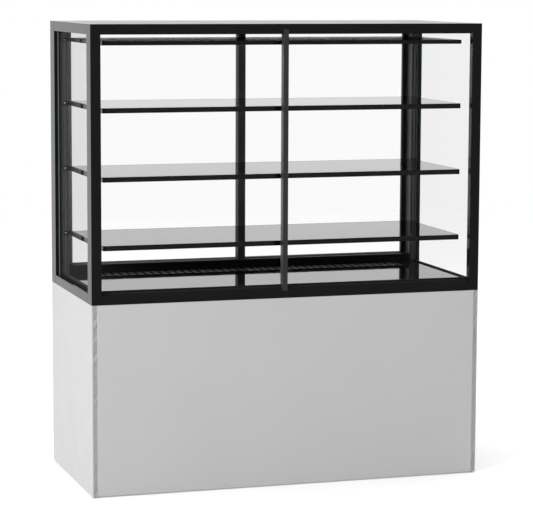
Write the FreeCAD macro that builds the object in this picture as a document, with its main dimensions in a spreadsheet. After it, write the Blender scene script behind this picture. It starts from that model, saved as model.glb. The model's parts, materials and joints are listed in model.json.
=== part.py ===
import FreeCAD, Part
import math
import os
import re
import Sketcher
from FreeCAD import Placement, Rotation, Vector

# Refrigerated deli case: a glass display house on a plain plinth.
# Millimetres, +Z up, +Y to the rear, origin at the centre of the footprint on the floor.

doc = FreeCAD.newDocument("DeliCase")
sheet = doc.addObject("Spreadsheet::Sheet", "Sheet")

# alias, value, what it is
sizes = [
    ("width", 1200, "overall width"),
    ("depth", 540, "overall depth"),
    ("height", 1370, "overall height"),
    ("plinthTop", 565, "top of the plinth, foot of the black frame"),
    ("barFace", 30, "visible face of a frame bar"),
    ("barDepth", 22, "depth of the front bars"),
    ("rearDepth", 14, "depth of the rear legs"),
    ("sideLeg", 50, "length of a front post's side leg"),
    ("rearLeg", 56, "length of a rear post's side leg"),
    ("skin", 10, "thickness of the side legs and side rails"),
    ("railRise", 27, "height of the bottom rails"),
    ("topSheet", 6, "thickness of the top panel"),
    ("sidePane", 10, "thickness of a side pane"),
    ("frontPane", 6, "thickness of a front pane"),
    ("doorPane", 5, "thickness of a door pane"),
    ("paneGap", 1, "sealing gap between a bar and its pane"),
    ("mullionEdge", 8, "mullion's right edge, left of the centre plane"),
    ("mullionFace", 15.5, "mullion's front face"),
    ("mullionTop", 14, "mullion let into the top rail"),
    ("mullionFoot", 6, "mullion let into the bottom rail"),
    ("deckTop", 598, "top of the deck"),
    ("deckSheet", 8, "thickness of the deck"),
    ("deckFront", 240, "deck's front edge, ahead of the centre plane"),
    ("deckRear", 200, "deck's rear edge, behind the centre plane"),
    ("rearAirIn", 20, "rear air slot, in from the deck's rear edge"),
    ("rearAirWide", 70, "width of the rear air slot"),
    ("frontAirIn", 12, "front air slot, in from the deck's front edge"),
    ("frontAirWide", 20, "width of the front air slot"),
    ("grilleEnd", 8, "solid end of a grille"),
    ("grilleRim", 4, "solid rim beside a grille's slots"),
    ("grilleSlot", 10, "width of a grille's slot"),
    ("grilleStep", 25, "from slot to slot in a grille"),
    ("grilleSlots", 40, "slots in a grille"),
    ("sillTop", 622, "top of the rear sill"),
    ("sealRise", 4, "height of the seals above the deck"),
    ("sealWide", 6, "width of the seals on the deck"),
    ("uprightIn", 560, "inner face of an upright"),
    ("uprightRear", 238, "rear face of an upright"),
    ("groove", 3, "width and depth of an upright's grooves"),
    ("shelfHalf", 555, "half the shelf's width"),
    ("shelfFront", 225, "shelf's front edge"),
    ("shelfRear", 185, "shelf's rear edge"),
    ("shelfSheet", 15, "thickness of a shelf"),
    ("canopySheet", 12, "thickness of the canopy slab"),
    ("shelfRound", 7, "radius of a shelf's corners"),
    ("lowerTop", 731, "top of the lower shelf"),
    ("shelfStep", 199, "from shelf to shelf"),
    ("canopyTop", 1320, "top of the canopy slab"),
    ("armSheet", 4, "thickness of a shelf arm"),
    ("armFront", 40, "front end of a shelf arm, behind the centre plane"),
    ("lightHalf", 500, "half the length of a light strip"),
    ("lightWide", 12, "width of a light strip"),
    ("lightDeep", 4, "depth of a light strip"),
    ("lightInset", 12, "light strip behind the shelf's front edge"),
    ("innerTrack", 222, "front wall of the inner door track"),
    ("outerTrack", 240, "front wall of the outer door track"),
    ("trackWide", 14, "width of a door track"),
    ("trackDeep", 14, "depth of the sill's tracks"),
    ("topTrackFoot", 1335, "underside of the rear top rail"),
    ("topTrackDeep", 25, "depth of the top tracks"),
    ("doorPlay", 1, "running clearance of a door, each side"),
    ("doorFoot", 609, "underside of the doors"),
    ("doorTop", 1352, "top of the doors"),
    ("stileHalf", 12, "half the width of the meeting stile"),
    ("doorRail", 14, "height of a door's foot and head rails"),
    ("pullWide", 14.5, "width of a door's pull strip"),
    ("pullSlot", 9, "width of the finger groove in a pull"),
    ("pullDeep", 6, "depth of the finger groove in a pull"),
    ("doorLap", 8, "outer door's lap behind the upright"),
    ("sheetThick", 2, "sheet metal of the plinth"),
    ("panelFoot", 4, "panels' clearance over the floor"),
    ("panelIn", 4, "rear panels set in from the rear face"),
    ("cornerWide", 30, "rear corner post's face"),
    ("cornerDeep", 12, "rear corner post's depth"),
    ("panelJoint", 0.5, "joint between panels"),
    ("panFloor", 20, "underside of the base pan"),
    ("panRim", 25, "height of the base pan's rim"),
    ("tube", 20, "base frame's square tube"),
    ("servicePanelTop", 400, "top of the rear service panel"),
    ("louvreStart", 48, "first louvre slot"),
    ("louvreWide", 8, "width of a louvre slot"),
    ("louvreStep", 17, "from louvre to louvre"),
    ("louvres", 20, "louvre slots"),
    ("footSpanX", 540, "levelling foot from the centre plane"),
    ("footSpanY", 215, "levelling foot ahead of or behind the centre"),
    ("footRadius", 22, "radius of a foot"),
    ("studRadius", 6, "radius of a foot's stud"),
    ("footPad", 6, "height of a foot's pad"),
    ("footCone", 10, "height of a foot's cone"),
    ("wellHalf", 570, "half the width of the insulated well"),
    ("wellFoot", 410, "underside of the insulated well"),
    ("linerHalf", 545, "half the width of the liner"),
    ("linerFront", 215, "liner's front"),
    ("linerRear", 175, "liner's rear"),
    ("linerFoot", 440, "underside of the liner"),
    ("linerSheet", 2, "thickness of the liner"),
    ("coilHalf", 380, "half the width of the evaporator coil"),
    ("coilFront", 10, "coil's front face, ahead of the centre plane"),
    ("coilRear", 70, "coil's rear face"),
    ("coilRise", 10, "height of a coil's feet"),
    ("coilHigh", 100, "height of the evaporator coil"),
    ("coilRim", 10, "solid rim of a coil"),
    ("coilPacks", 38, "gaps in the evaporator coil"),
    ("finStep", 19, "spacing of the drawn fin packs"),
    ("finGap", 3, "gap between fin packs"),
    ("fanPlateFront", 62, "fan plate's front face, ahead of the centre plane"),
    ("fanRadius", 62, "evaporator fan's radius"),
    ("fanHole", 68, "radius of the evaporator fan's opening"),
    ("fanHub", 18, "evaporator fan's hub radius"),
    ("fanFront", 85, "evaporator fan's front, ahead of the centre plane"),
    ("fanRear", 67, "evaporator fan's rear, ahead of the centre plane"),
    ("motorRadius", 30, "evaporator fan motor's radius"),
    ("motorFront", 132, "motor's front, ahead of the centre plane"),
    ("motorRear", 88, "motor's rear, ahead of the centre plane"),
    ("strapFront", 100, "motor strap's front, ahead of the centre plane"),
    ("strapSheet", 4, "thickness of the motor's strap"),
    ("strapHalf", 6, "half the height of the motor's strap"),
    ("strapEnd", 8, "strap's reach beyond the fan's opening"),
    ("bladeSheet", 2, "thickness of a fan blade"),
    ("bladePitch", 38, "pitch of a fan blade in degrees"),
    ("bladeSpread", 1.3, "blade's width against its hub's length"),
    ("blades", 5, "blades of a fan"),
    ("coolRadius", 105, "condenser fan's radius"),
    ("coolHole", 112, "radius of the condenser fan's opening"),
    ("coolX", 220, "condenser fan's axis"),
    ("coolZ", 190, "condenser fan's axis height"),
    ("coolHub", 26, "condenser fan's hub radius"),
    ("coolFanFront", 122, "condenser fan's front"),
    ("coolFanRear", 160, "condenser fan's rear"),
    ("coolMotor", 34, "condenser fan motor's radius"),
    ("coolMotorFront", 70, "condenser fan motor's front"),
    ("coolMotorRear", 120, "condenser fan motor's rear"),
    ("shroudFront", 164, "condenser shroud's front"),
    ("stayFront", 92, "front of the motor's stay"),
    ("staySheet", 6, "thickness of the motor's stay"),
    ("stayHalf", 8, "half the height of the motor's stay"),
    ("stayReach", 140, "half the length of the motor's stay"),
    ("coolHalf", 160, "half the condenser's width"),
    ("coolRise", 150, "condenser's top over the fan's axis"),
    ("coolFront", 190, "condenser's front"),
    ("coolRear", 240, "condenser's rear"),
    ("coolPacks", 15, "gaps in the condenser"),
    ("fanZ", 518, "evaporator fan's axis height"),
    ("compressorX", -260, "compressor's axis"),
    ("compressorY", 60, "compressor's axis"),
    ("compressorRadius", 78, "compressor's shell radius"),
    ("compressorHigh", 190, "compressor's height"),
    ("shellFoot", 14, "underside of the compressor's shell over the pan"),
    ("shellEase", 12, "eased foot of the compressor's shell"),
    ("shoulderDrop", 50, "foot of the shell's shoulder below its crown"),
    ("shoulderIn", 14, "shoulder's step in"),
    ("crownDrop", 18, "top of the shell's shoulder below its crown"),
    ("crownIn", 40, "crown's step in"),
    ("padHigh", 10, "height of a compressor pad"),
    ("padRadius", 10, "radius of a compressor pad"),
    ("padX", 78, "pad from the compressor's axis, along the case"),
    ("padY", 48, "pad from the compressor's axis, across the case"),
    ("bedX", 90, "half the length of the compressor's bed"),
    ("bedY", 60, "half the width of the compressor's bed"),
    ("bedSheet", 6, "thickness of the compressor's bed"),
    ("trayLeft", 130, "evaporation tray's left side, left of the centre plane"),
    ("trayRight", 40, "evaporation tray's right side"),
    ("trayFront", 60, "evaporation tray's front"),
    ("trayRear", 230, "evaporation tray's rear"),
    ("trayHigh", 40, "evaporation tray's height"),
    ("pipeRadius", 4, "copper pipe's radius"),
    ("pipeBend", 24, "copper pipe's bend radius"),
    ("switchX", 330, "power switch"),
    ("switchStep", 40, "from switch to switch"),
    ("switchZ", 490, "height of the switches and the controller"),
    ("rockerWide", 24, "rocker's width"),
    ("rockerHigh", 14, "rocker's height"),
    ("rockerPlay", 0.5, "clearance at a rocker's ends"),
    ("rockerSwing", 1.4, "clearance above and below a rocker"),
    ("rockerDeep", 5, "rocker's depth behind the panel's face"),
    ("rockerPeak", 3.5, "rocker's raised end over the panel"),
    ("rockerLow", 1, "rocker's lowered end over the panel"),
    ("pocketDeep", 14, "depth of a rocker's pocket"),
    ("bossReach", 19, "switch boss beyond the switches' centres"),
    ("bossRise", 1, "height of the switch boss over the panel"),
    ("boxLeft", 290, "electrical box's left side"),
    ("boxRight", 400, "electrical box's right side"),
    ("boxFront", 204, "electrical box's front"),
    ("boxFoot", 430, "underside of the electrical box"),
    ("boxTop", 540, "top of the electrical box"),
    ("bezelLeft", 410, "controller's bezel, left edge"),
    ("bezelWide", 80, "controller's bezel width"),
    ("bezelHigh", 36, "controller's bezel height"),
    ("bezelRise", 3, "controller's bezel thickness"),
    ("bezelLap", 4, "bezel's lap round its opening"),
    ("controllerFront", 206, "front of the controller's body"),
    ("buttonX", 470, "controller's buttons"),
    ("buttonHigh", 10, "button's height"),
    ("buttonWide", 12, "button's width"),
    ("buttonStep", 15, "from button to button"),
    ("buttonPlay", 0.3, "clearance around a button"),
    ("buttonWell", 6, "depth of a button's well"),
    ("buttonDeep", 3, "button's depth behind the panel's face"),
    ("buttonRise", 3.8, "button's height over the panel"),
    ("screwRadius", 4, "radius of a screw's head"),
    ("screwHead", 2, "height of a screw's head"),
    ("screwX", 555, "outer panel screws from the centre plane"),
    ("screwFoot", 40, "lowest panel screws over the floor"),
    ("screwIn", 20, "panel screws in from a panel's edge"),
    ("armScrew", 10, "shelf arm's screw beyond the upright's inner face"),
    ("glandBore", 5, "radius of the gland's bore"),
    ("glandHole", 10, "radius of the gland's body and its hole"),
    ("glandNut", 15, "radius of the gland's nut"),
    ("glandStep", 6, "length of the gland's body ahead of its nut"),
    ("glandLong", 10, "length of the gland"),
    ("glandX", 500, "cable gland"),
    ("glandZ", 70, "cable gland's height over the floor"),
]

for row, (alias, value, note) in enumerate(sizes, start=1):
    sheet.set("A%d" % row, alias)
    sheet.set("B%d" % row, str(value))
    sheet.set("C%d" % row, note)
    sheet.setAlias("B%d" % row, alias)
doc.recompute()

pieces = []
ZERO = "0 * width"


def bound(text):
    """An expression on the sheet's aliases, as FreeCAD reads it."""
    return re.sub(r"[A-Za-z]\w*", lambda word: "Sheet." + word.group(), text)


def number(text):
    """The same expression's value today, for a sketch's first guess and for plain shapes."""
    names = re.sub(r"[A-Za-z]\w*", lambda word: "%r" % float(sheet.get(word.group())), text)
    return float(FreeCAD.Units.parseQuantity(names).Value)


def place(item, x, y, z):
    """Bind an object's position."""
    for axis, text in zip("xyz", (x, y, z)):
        item.setExpression("Placement.Base." + axis, bound(text))


def block(name, x, y, z):
    """A box between bound limits; each of x, y and z is a pair of expressions."""
    item = doc.addObject("Part::Box", name)
    for side, (low, high) in zip(("Length", "Width", "Height"), (x, y, z)):
        item.setExpression(side, bound("(%s) - (%s)" % (high, low)))
    place(item, x[0], y[0], z[0])
    return item


def drum(name, axis, centre, radius, low, high):
    """A cylinder along x, y or z, between two bound limits on that axis."""
    item = doc.addObject("Part::Cylinder", name)
    item.setExpression("Radius", bound(radius))
    item.setExpression("Height", bound("(%s) - (%s)" % (high, low)))
    turn = {"x": Rotation(Vector(0, 1, 0), 90), "y": Rotation(Vector(1, 0, 0), -90), "z": Rotation()}
    item.Placement = Placement(Vector(), turn[axis])
    spots = list(centre)
    spots.insert("xyz".index(axis), low)
    place(item, *spots)
    return item


def cut(name, base, tools):
    """The base with every tool taken out."""
    tool = tools[0] if len(tools) == 1 else fuse(name + "_tools", tools)
    item = doc.addObject("Part::Cut", name)
    item.Base = base
    item.Tool = tool
    return item


def fuse(name, parts):
    """One solid from several that touch."""
    item = doc.addObject("Part::MultiFuse", name)
    item.Shapes = parts
    item.Refine = True
    return item


def group(name, parts):
    """Separate solids kept in one sub-part."""
    item = doc.addObject("Part::Compound", name)
    item.Links = parts
    return item


def keep(name, item):
    """Label a finished sub-part and list it for export."""
    item.Label = name
    pieces.append(item)
    return item


def origin_plane(body, role):
    """One of a body's own origin planes."""
    return next(item for item in body.Origin.OriginFeatures if item.Role == role)


def outline(body, plane, offset, points):
    """A closed sketch of straight lines whose corners are bound to the sheet."""
    sketch = body.newObject("Sketcher::SketchObject", body.Name + "_outline")
    sketch.AttachmentSupport = (origin_plane(body, plane), [""])
    sketch.MapMode = "FlatFace"
    sketch.setExpression("AttachmentOffset.Base.z", bound(offset))
    spots = [Vector(number(x), number(y), 0) for x, y in points]
    count = len(spots)
    for index, spot in enumerate(spots):
        sketch.addGeometry(Part.LineSegment(spot, spots[(index + 1) % count]))
    for index in range(count):
        sketch.addConstraint(Sketcher.Constraint("Coincident", index, 2, (index + 1) % count, 1))
    for index, pair in enumerate(points):
        for kind, text in zip("XY", pair):
            row = sketch.addConstraint(
                Sketcher.Constraint("Distance" + kind, -1, 1, index, 1, number(text)))
            label = "%s%d" % (kind.lower(), index)
            sketch.renameConstraint(row, label)
            sketch.setExpression("Constraints." + label, bound(text))
    return sketch


def extrude(name, plane, points, low, high):
    """A body padded from an outline, between two limits along the plane's normal."""
    body = doc.addObject("PartDesign::Body", name)
    offset = "-(%s)" % high if plane == "XZ_Plane" else low
    sketch = outline(body, plane, offset, points)
    pad = body.newObject("PartDesign::Pad", name + "_pad")
    pad.Profile = sketch
    pad.setExpression("Length", bound("(%s) - (%s)" % (high, low)))
    sketch.Visibility = False
    return body


def turned(name, points, spot):
    """A body revolved about its own vertical axis, standing at a bound spot."""
    body = doc.addObject("PartDesign::Body", name)
    sketch = outline(body, "XZ_Plane", ZERO, points)
    turn = body.newObject("PartDesign::Revolution", name + "_turn")
    turn.Profile = sketch
    turn.ReferenceAxis = (sketch, ["V_Axis"])
    turn.Angle = 360
    place(body, *spot)
    return body


def slotted(name, plane, points, low, high, slot, step, count):
    """A padded plate with a row of slots cut through it along the sketch's horizontal axis."""
    body = extrude(name, plane, points, low, high)
    offset = "-(%s)" % high if plane == "XZ_Plane" else high
    sketch = outline(body, plane, offset, slot)
    pocket = body.newObject("PartDesign::Pocket", name + "_slot")
    pocket.Profile = sketch
    pocket.Type = "ThroughAll"
    pocket.Reversed = plane == "XZ_Plane"
    row = body.newObject("PartDesign::LinearPattern", name + "_row")
    row.Originals = [pocket]
    row.Direction = (sketch, ["H_Axis"])
    row.setExpression("Occurrences", bound(count))
    row.setExpression("Length", bound("%s * (%s - 1)" % (step, count)))
    body.Tip = row
    return body


def mirrored(pair):
    """A pair of x limits on the other side of the centre plane."""
    return ("-(%s)" % pair[1], "-(%s)" % pair[0])


SIDES = (("left", True), ("right", False))


def side_x(left, low, high):
    """Limits measured outwards from the centre plane, for the left or the right side."""
    return mirrored((low, high)) if left else (low, high)


def make_posts():
    """Corner posts: L sections whose front or rear leg shows a full bar's face."""
    for side, left in SIDES:
        sign = "-1 * " if left else "1 * "
        outer, face, inner = (sign + part for part in ("(width / 2)", "(width / 2 - barFace)",
                                                       "(width / 2 - skin)"))
        front = [(outer, "-depth / 2"), (face, "-depth / 2"), (face, "-depth / 2 + barDepth"),
                 (inner, "-depth / 2 + barDepth"), (inner, "-depth / 2 + sideLeg"),
                 (outer, "-depth / 2 + sideLeg")]
        rear = [(outer, "depth / 2"), (face, "depth / 2"), (face, "depth / 2 - rearDepth"),
                (inner, "depth / 2 - rearDepth"), (inner, "depth / 2 - rearLeg"),
                (outer, "depth / 2 - rearLeg")]
        for name, points in (("front_post_" + side, front), ("rear_post_" + side, rear)):
            keep(name, extrude(name, "XY_Plane", points, "plinthTop", "height"))


def notched_rail(name, low, high, notch_low, notch_high):
    """A front rail with a square notch that takes the mullion's end."""
    half = "width / 2 - barFace"
    left = "-mullionEdge - mullionFace"
    right = "-mullionEdge"
    if notch_low == low:
        points = [("-(%s)" % half, low), (left, low), (left, notch_high), (right, notch_high),
                  (right, low), (half, low), (half, high), ("-(%s)" % half, high)]
    else:
        points = [("-(%s)" % half, low), (half, low), (half, high), (right, high),
                  (right, notch_low), (left, notch_low), (left, high), ("-(%s)" % half, high)]
    return extrude(name, "XZ_Plane", points, "-depth / 2", "-depth / 2 + barDepth")


def make_rails():
    """Rails of the glass house."""
    top = "height - barFace"
    foot = "plinthTop + railRise"
    keep("front_top_rail",
         notched_rail("front_top_rail", top, "height", top, top + " + mullionTop"))
    keep("front_bottom_rail",
         notched_rail("front_bottom_rail", "plinthTop", foot, foot + " - mullionFoot", foot))
    bars = []
    for side, left in SIDES:
        x = side_x(left, "width / 2 - skin", "width / 2")
        y = ("-depth / 2 + sideLeg", "depth / 2 - rearLeg")
        bars.append(block("side_top_bar_" + side, x, y, (top, "height")))
        bars.append(block("side_bottom_bar_" + side, x, y, ("plinthTop", foot)))
    keep("side_rails", group("side_rails", bars))
    middle = ("-mullionEdge - mullionFace", "-mullionEdge")
    keep("front_mullion", block(
        "front_mullion", middle, ("-depth / 2", "-depth / 2 + barDepth + paneGap"),
        (foot + " - mullionFoot", top + " + mullionTop")))


def tracked(name, foot, head, floor, ceiling):
    """A rear rail with two door tracks, lapped round the uprights."""
    lap = "width / 2 - barFace"
    front = block(name + "_front", ("-uprightIn", "uprightIn"), ("deckRear", "uprightRear"),
                  (foot, head))
    back = block(name + "_back", ("-(%s)" % lap, lap),
                 ("uprightRear", "depth / 2 - rearDepth"), (foot, head))
    face = block(name + "_face", ("-(%s)" % lap, lap),
                 ("depth / 2 - rearDepth", "depth / 2"), (foot, ceiling or head))
    inner = block(name + "_inner", ("-uprightIn", "uprightIn"),
                  ("innerTrack", "innerTrack + trackWide"), floor)
    outer = block(name + "_outer", ("-(%s)" % lap, lap),
                  ("outerTrack", "outerTrack + trackWide"), floor)
    return cut(name, fuse(name + "_bar", [front, back, face]), [inner, outer])


def make_rear_rails():
    """Rear sill and rear top rail."""
    keep("rear_sill", tracked("rear_sill", "plinthTop", "sillTop",
                              ("sillTop - trackDeep", "sillTop"), None))
    keep("rear_top_rail", tracked("rear_top_rail", "topTrackFoot", "height - topSheet",
                                  ("topTrackFoot", "topTrackFoot + topTrackDeep"), "height"))


def make_glass():
    """Fixed panes, top panel and the seals at the panes' feet."""
    top = "height - topSheet - 2 * paneGap"
    front = ("-depth / 2 + barDepth + paneGap", "-depth / 2 + barDepth + paneGap + frontPane")
    edge = "width / 2 - skin - sidePane"
    middle = "mullionEdge + mullionFace / 2"
    low = "plinthTop + 3 * paneGap"
    keep("front_glass_left", block(
        "front_glass_left", ("-(%s) + paneGap" % edge, "-(%s) - paneGap" % middle), front,
        (low, top)))
    keep("front_glass_right", block(
        "front_glass_right", ("-(%s) + paneGap" % middle, edge + " - paneGap"), front, (low, top)))
    for side, left in SIDES:
        keep("side_glass_" + side, block(
            "side_glass_" + side, side_x(left, edge, "width / 2 - skin"),
            ("-depth / 2 + barDepth + paneGap", "deckRear - paneGap"), (low, top)))
    keep("top_panel", block(
        "top_panel", ("-width / 2 + skin", "width / 2 - skin"),
        ("-depth / 2 + barDepth", "depth / 2 - rearDepth"), ("height - topSheet", "height")))
    rise = ("deckTop", "deckTop + sealRise")
    ahead = (front[0] + " - sealWide / 2", front[0])
    foot = ("plinthTop + railRise", "deckTop")
    seals = [
        block("seal_front_foot_left", ("-width / 2 + barFace", "-mullionEdge - mullionFace"), ahead, foot),
        block("seal_front_foot_right", ("-mullionEdge", "width / 2 - barFace"), ahead, foot),
        block("seal_front_deck", ("-(%s) + sealWide" % edge, edge + " - sealWide"),
              (front[1], front[1] + " + sealWide"), rise),
    ]
    for side, left in SIDES:
        seals.append(block("seal_" + side, side_x(left, edge + " - sealWide", edge),
                           (front[1], "deckRear"), rise))
    keep("glass_seals", group("glass_seals", seals))


def rectangle(x, y):
    """Corners of a rectangle between a pair of x limits and a pair of y limits."""
    return [(x[0], y[0]), (x[1], y[0]), (x[1], y[1]), (x[0], y[1])]


def make_deck():
    """Deck with its two air slots, and the slotted grilles in them."""
    edge = "width / 2 - skin - sidePane"
    deck = block("deck_plate", ("-(%s)" % edge, edge), ("-deckFront", "deckRear"),
                 ("deckTop - deckSheet", "deckTop"))
    x = ("-lightHalf", "lightHalf")
    spans = [("rear_grille", ("deckRear - rearAirIn - rearAirWide", "deckRear - rearAirIn")),
             ("front_grille", ("-deckFront + frontAirIn", "-deckFront + frontAirIn + frontAirWide"))]
    through = ("deckTop - 2 * deckSheet", "deckTop + deckSheet")
    keep("deck_panel", cut("deck_panel", deck, [block(name + "_hole", x, y, through)
                                                for name, y in spans]))
    slot_x = ("-lightHalf + grilleEnd", "-lightHalf + grilleEnd + grilleSlot")
    grilles = []
    for name, y in spans:
        slot = rectangle(slot_x, (y[0] + " + grilleRim", y[1] + " - grilleRim"))
        grilles.append(slotted(name, "XY_Plane", rectangle(x, y), "deckTop - deckSheet / 2",
                               "deckTop - paneGap", slot, "grilleStep", "grilleSlots"))
    keep("air_grilles", group("air_grilles", grilles))


def make_uprights():
    """Grooved uprights that carry the shelves."""
    outer = "width / 2 - skin"
    middle = "(uprightIn + %s) / 2" % outer
    grooves = [("uprightIn + groove", "uprightIn + 2 * groove"),
               (middle + " - groove / 2", middle + " + groove / 2"),
               (outer + " - 2 * groove", outer + " - groove")]
    for side, left in SIDES:
        sign = "-1 * " if left else "1 * "
        points = [("uprightIn", "uprightRear"), ("uprightIn", "deckRear")]
        for start, end in grooves:
            points += [(start, "deckRear"), (start, "deckRear + groove"),
                       (end, "deckRear + groove"), (end, "deckRear")]
        points += [(outer, "deckRear"), (outer, "uprightRear")]
        points = [(sign + "(%s)" % x, y) for x, y in points]
        name = "upright_" + side
        keep(name, extrude(name, "XY_Plane", points, "plinthTop", "height - topSheet"))


def shelf_tops():
    """Names and bound tops of the slabs, from the lowest up, with their thickness."""
    return [("shelf_lower", "lowerTop", "shelfSheet"),
            ("shelf_middle", "lowerTop + shelfStep", "shelfSheet"),
            ("shelf_upper", "lowerTop + 2 * shelfStep", "shelfSheet"),
            ("canopy_shelf", "canopyTop", "canopySheet")]


def make_slab(name, top, thick):
    """A glossy slab with rounded corners and a groove under its front edge for the light."""
    points = [("-shelfHalf", "-shelfFront"), ("shelfHalf", "-shelfFront"),
              ("shelfHalf", "shelfRear"), ("-shelfHalf", "shelfRear")]
    low = "%s - %s" % (top, thick)
    body = extrude(name, "XY_Plane", points, low, top)
    groove = outline(body, "XY_Plane", low, light_outline())
    pocket = body.newObject("PartDesign::Pocket", name + "_groove")
    pocket.Profile = groove
    pocket.setExpression("Length", bound("lightDeep"))
    pocket.Reversed = True
    doc.recompute()
    corners = ["Edge%d" % (index + 1) for index, edge in enumerate(body.Shape.Edges)
               if abs(edge.BoundBox.XMin) + 0.01 > number("shelfHalf")
               and edge.BoundBox.ZLength > number("canopySheet") / 2]
    fillet = body.newObject("PartDesign::Fillet", name + "_corners")
    fillet.Base = (pocket, corners)
    fillet.setExpression("Radius", bound("shelfRound"))
    body.Tip = fillet
    return body


def light_outline():
    """Plan of a light strip behind a shelf's front edge."""
    near = "-shelfFront + lightInset"
    far = near + " + lightWide"
    return [("-lightHalf", near), ("lightHalf", near), ("lightHalf", far), ("-lightHalf", far)]


def make_shelves():
    """Three shelves and the canopy slab, their arms and their light strips."""
    arms = []
    lights = []
    flange = "width / 2 - skin - sidePane - 2 * paneGap"
    for name, top, thick in shelf_tops():
        keep(name, make_slab(name, top, thick))
        z = ("%s - %s + paneGap" % (top, thick), "%s - paneGap" % top)
        for side, left in SIDES:
            bar = block("%s_bar_%s" % (name, side),
                        side_x(left, "shelfHalf", "shelfHalf + armSheet"),
                        ("armFront", "deckRear"), z)
            end = block("%s_end_%s" % (name, side),
                        side_x(left, "shelfHalf", flange), ("deckRear - armSheet", "deckRear"), z)
            arms.append(fuse("%s_arm_%s" % (name, side), [bar, end]))
        near = "-shelfFront + lightInset"
        lights.append(block(name + "_light", ("-lightHalf", "lightHalf"),
                            (near, near + " + lightWide"),
                            ("%s - %s" % (top, thick), "%s - %s + lightDeep" % (top, thick))))
    keep("shelf_arms", group("shelf_arms", arms))
    keep("light_strips", group("light_strips", lights))


def make_door(side, low, high, stile, pull, track):
    """A sliding door: dark stile and rails round a pane, and a pull strip on its outer edge."""
    y = (track + " + doorPlay", track + " + trackWide - doorPlay")
    frame = block("door_bar_" + side, (low, high), y, ("doorFoot", "doorTop"))
    sight = block("door_sight_" + side, (stile[1], pull[0]) if side == "right"
                  else (pull[1], stile[0]), ("-depth", "depth"),
                  ("doorFoot + doorRail", "doorTop - doorRail"))
    channel = block("door_channel_" + side, pull, ("-depth", "depth"),
                    ("doorFoot + doorRail", "doorTop - doorRail"))
    keep("door_frame_" + side, cut("door_frame_" + side, frame, [sight, channel]))
    middle = track + " + trackWide / 2"
    span = (stile[1], pull[0]) if side == "right" else (pull[1], stile[0])
    keep("door_glass_" + side, block(
        "door_glass_" + side, span, (middle + " - doorPane / 2", middle + " + doorPane / 2"),
        ("doorFoot + doorRail", "doorTop - doorRail")))
    strip = block("pull_bar_" + side, pull, y, ("doorFoot + doorRail", "doorTop - doorRail"))
    centre = "(%s + %s) / 2" % pull
    finger = block("pull_slot_" + side, (centre + " - pullSlot / 2", centre + " + pullSlot / 2"),
                   (y[1] + " - pullDeep", y[1]),
                   ("doorFoot + 4 * doorRail", "doorTop - 4 * doorRail"))
    keep("door_pull_" + side, cut("door_pull_" + side, strip, [finger]))


def make_doors():
    """Rear doors: the left one in the inner track, the right one in the outer track."""
    stile = ("-stileHalf", "stileHalf")
    left = "-uprightIn + doorPlay / 2"
    make_door("left", left, "stileHalf", stile, (left, left + " + pullWide"), "innerTrack")
    right = "uprightIn + doorLap"
    pull = ("uprightIn - doorPlay / 2 - pullWide", "uprightIn - doorPlay / 2")
    make_door("right", "-stileHalf", right, stile, pull, "outerTrack")


def make_plinth():
    """Sheet metal plinth on a welded tube frame."""
    z = ("panelFoot", "plinthTop")
    joint = "depth / 2 - cornerDeep - panelJoint"
    keep("plinth_front_panel", block(
        "plinth_front_panel", ("-width / 2 + sheetThick", "width / 2 - sheetThick"),
        ("-depth / 2", "-depth / 2 + sheetThick"), z))
    for side, left in SIDES:
        name = "plinth_side_panel_" + side
        keep(name, block(name, side_x(left, "width / 2 - sheetThick", "width / 2"),
                         ("-depth / 2", joint), z))
    inner = "width / 2 - sheetThick"
    rail = ("plinthTop - tube", "plinthTop")
    y_front = ("-depth / 2 + sheetThick", "-depth / 2 + sheetThick + tube")
    y_rear = ("depth / 2 - cornerDeep - tube", "depth / 2 - cornerDeep")
    bars = [block("bar_front", ("-(%s)" % inner, inner), y_front, rail),
            block("bar_rear", ("-(%s)" % inner, inner), y_rear, rail)]
    for side, left in SIDES:
        tube_x = side_x(left, inner + " - tube", inner)
        bars.append(block("bar_" + side, tube_x, (y_front[1], y_rear[0]), rail))
        bars.append(block("leg_front_" + side, tube_x, y_front, ("panFloor", rail[0])))
        bars.append(block("leg_rear_" + side, tube_x, y_rear, ("panFloor", rail[0])))
        bars.append(block("corner_" + side, side_x(left, "width / 2 - cornerWide", "width / 2"),
                          ("depth / 2 - cornerDeep", "depth / 2"), z))
    bearer = ("wellFoot - tube", "wellFoot")
    bars.append(block("bearer_front", ("-(%s) + tube" % inner, inner + " - tube"), y_front, bearer))
    bars.append(block("bearer_rear", ("-(%s) + tube" % inner, inner + " - tube"), y_rear, bearer))
    for side, left in SIDES:
        bars.append(block("bearer_" + side, side_x(left, "lightHalf - tube", "lightHalf"),
                          (y_front[1], y_rear[0]), bearer))
    keep("base_frame", fuse("base_frame", bars))
    make_pan(inner, y_front, y_rear)
    spots = [(x + "footSpanX", y + "footSpanY") for x in ("-", "") for y in ("-", "")]
    profile = [(ZERO, ZERO), ("footRadius", ZERO), ("footRadius", "footPad"),
               ("studRadius", "footCone"), ("studRadius", "panFloor"), (ZERO, "panFloor")]
    feet = [turned("foot_%d" % index, profile, (x, y, ZERO))
            for index, (x, y) in enumerate(spots)]
    keep("levelling_feet", group("levelling_feet", feet))


def make_pan(inner, y_front, y_rear):
    """Base pan between the frame's legs."""
    x = ("-(%s) + tube" % inner, inner + " - tube")
    y = (y_front[0], y_rear[1])
    pan = block("pan_block", x, y, ("panFloor", "panFloor + panRim"))
    hollow = block("pan_hollow", (x[0] + " + sheetThick", x[1] + " - sheetThick"),
                   (y[0] + " + sheetThick", y[1] + " - sheetThick"),
                   ("panFloor + sheetThick", "panFloor + 2 * panRim"))
    keep("base_pan", cut("base_pan", pan, [hollow]))


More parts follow.
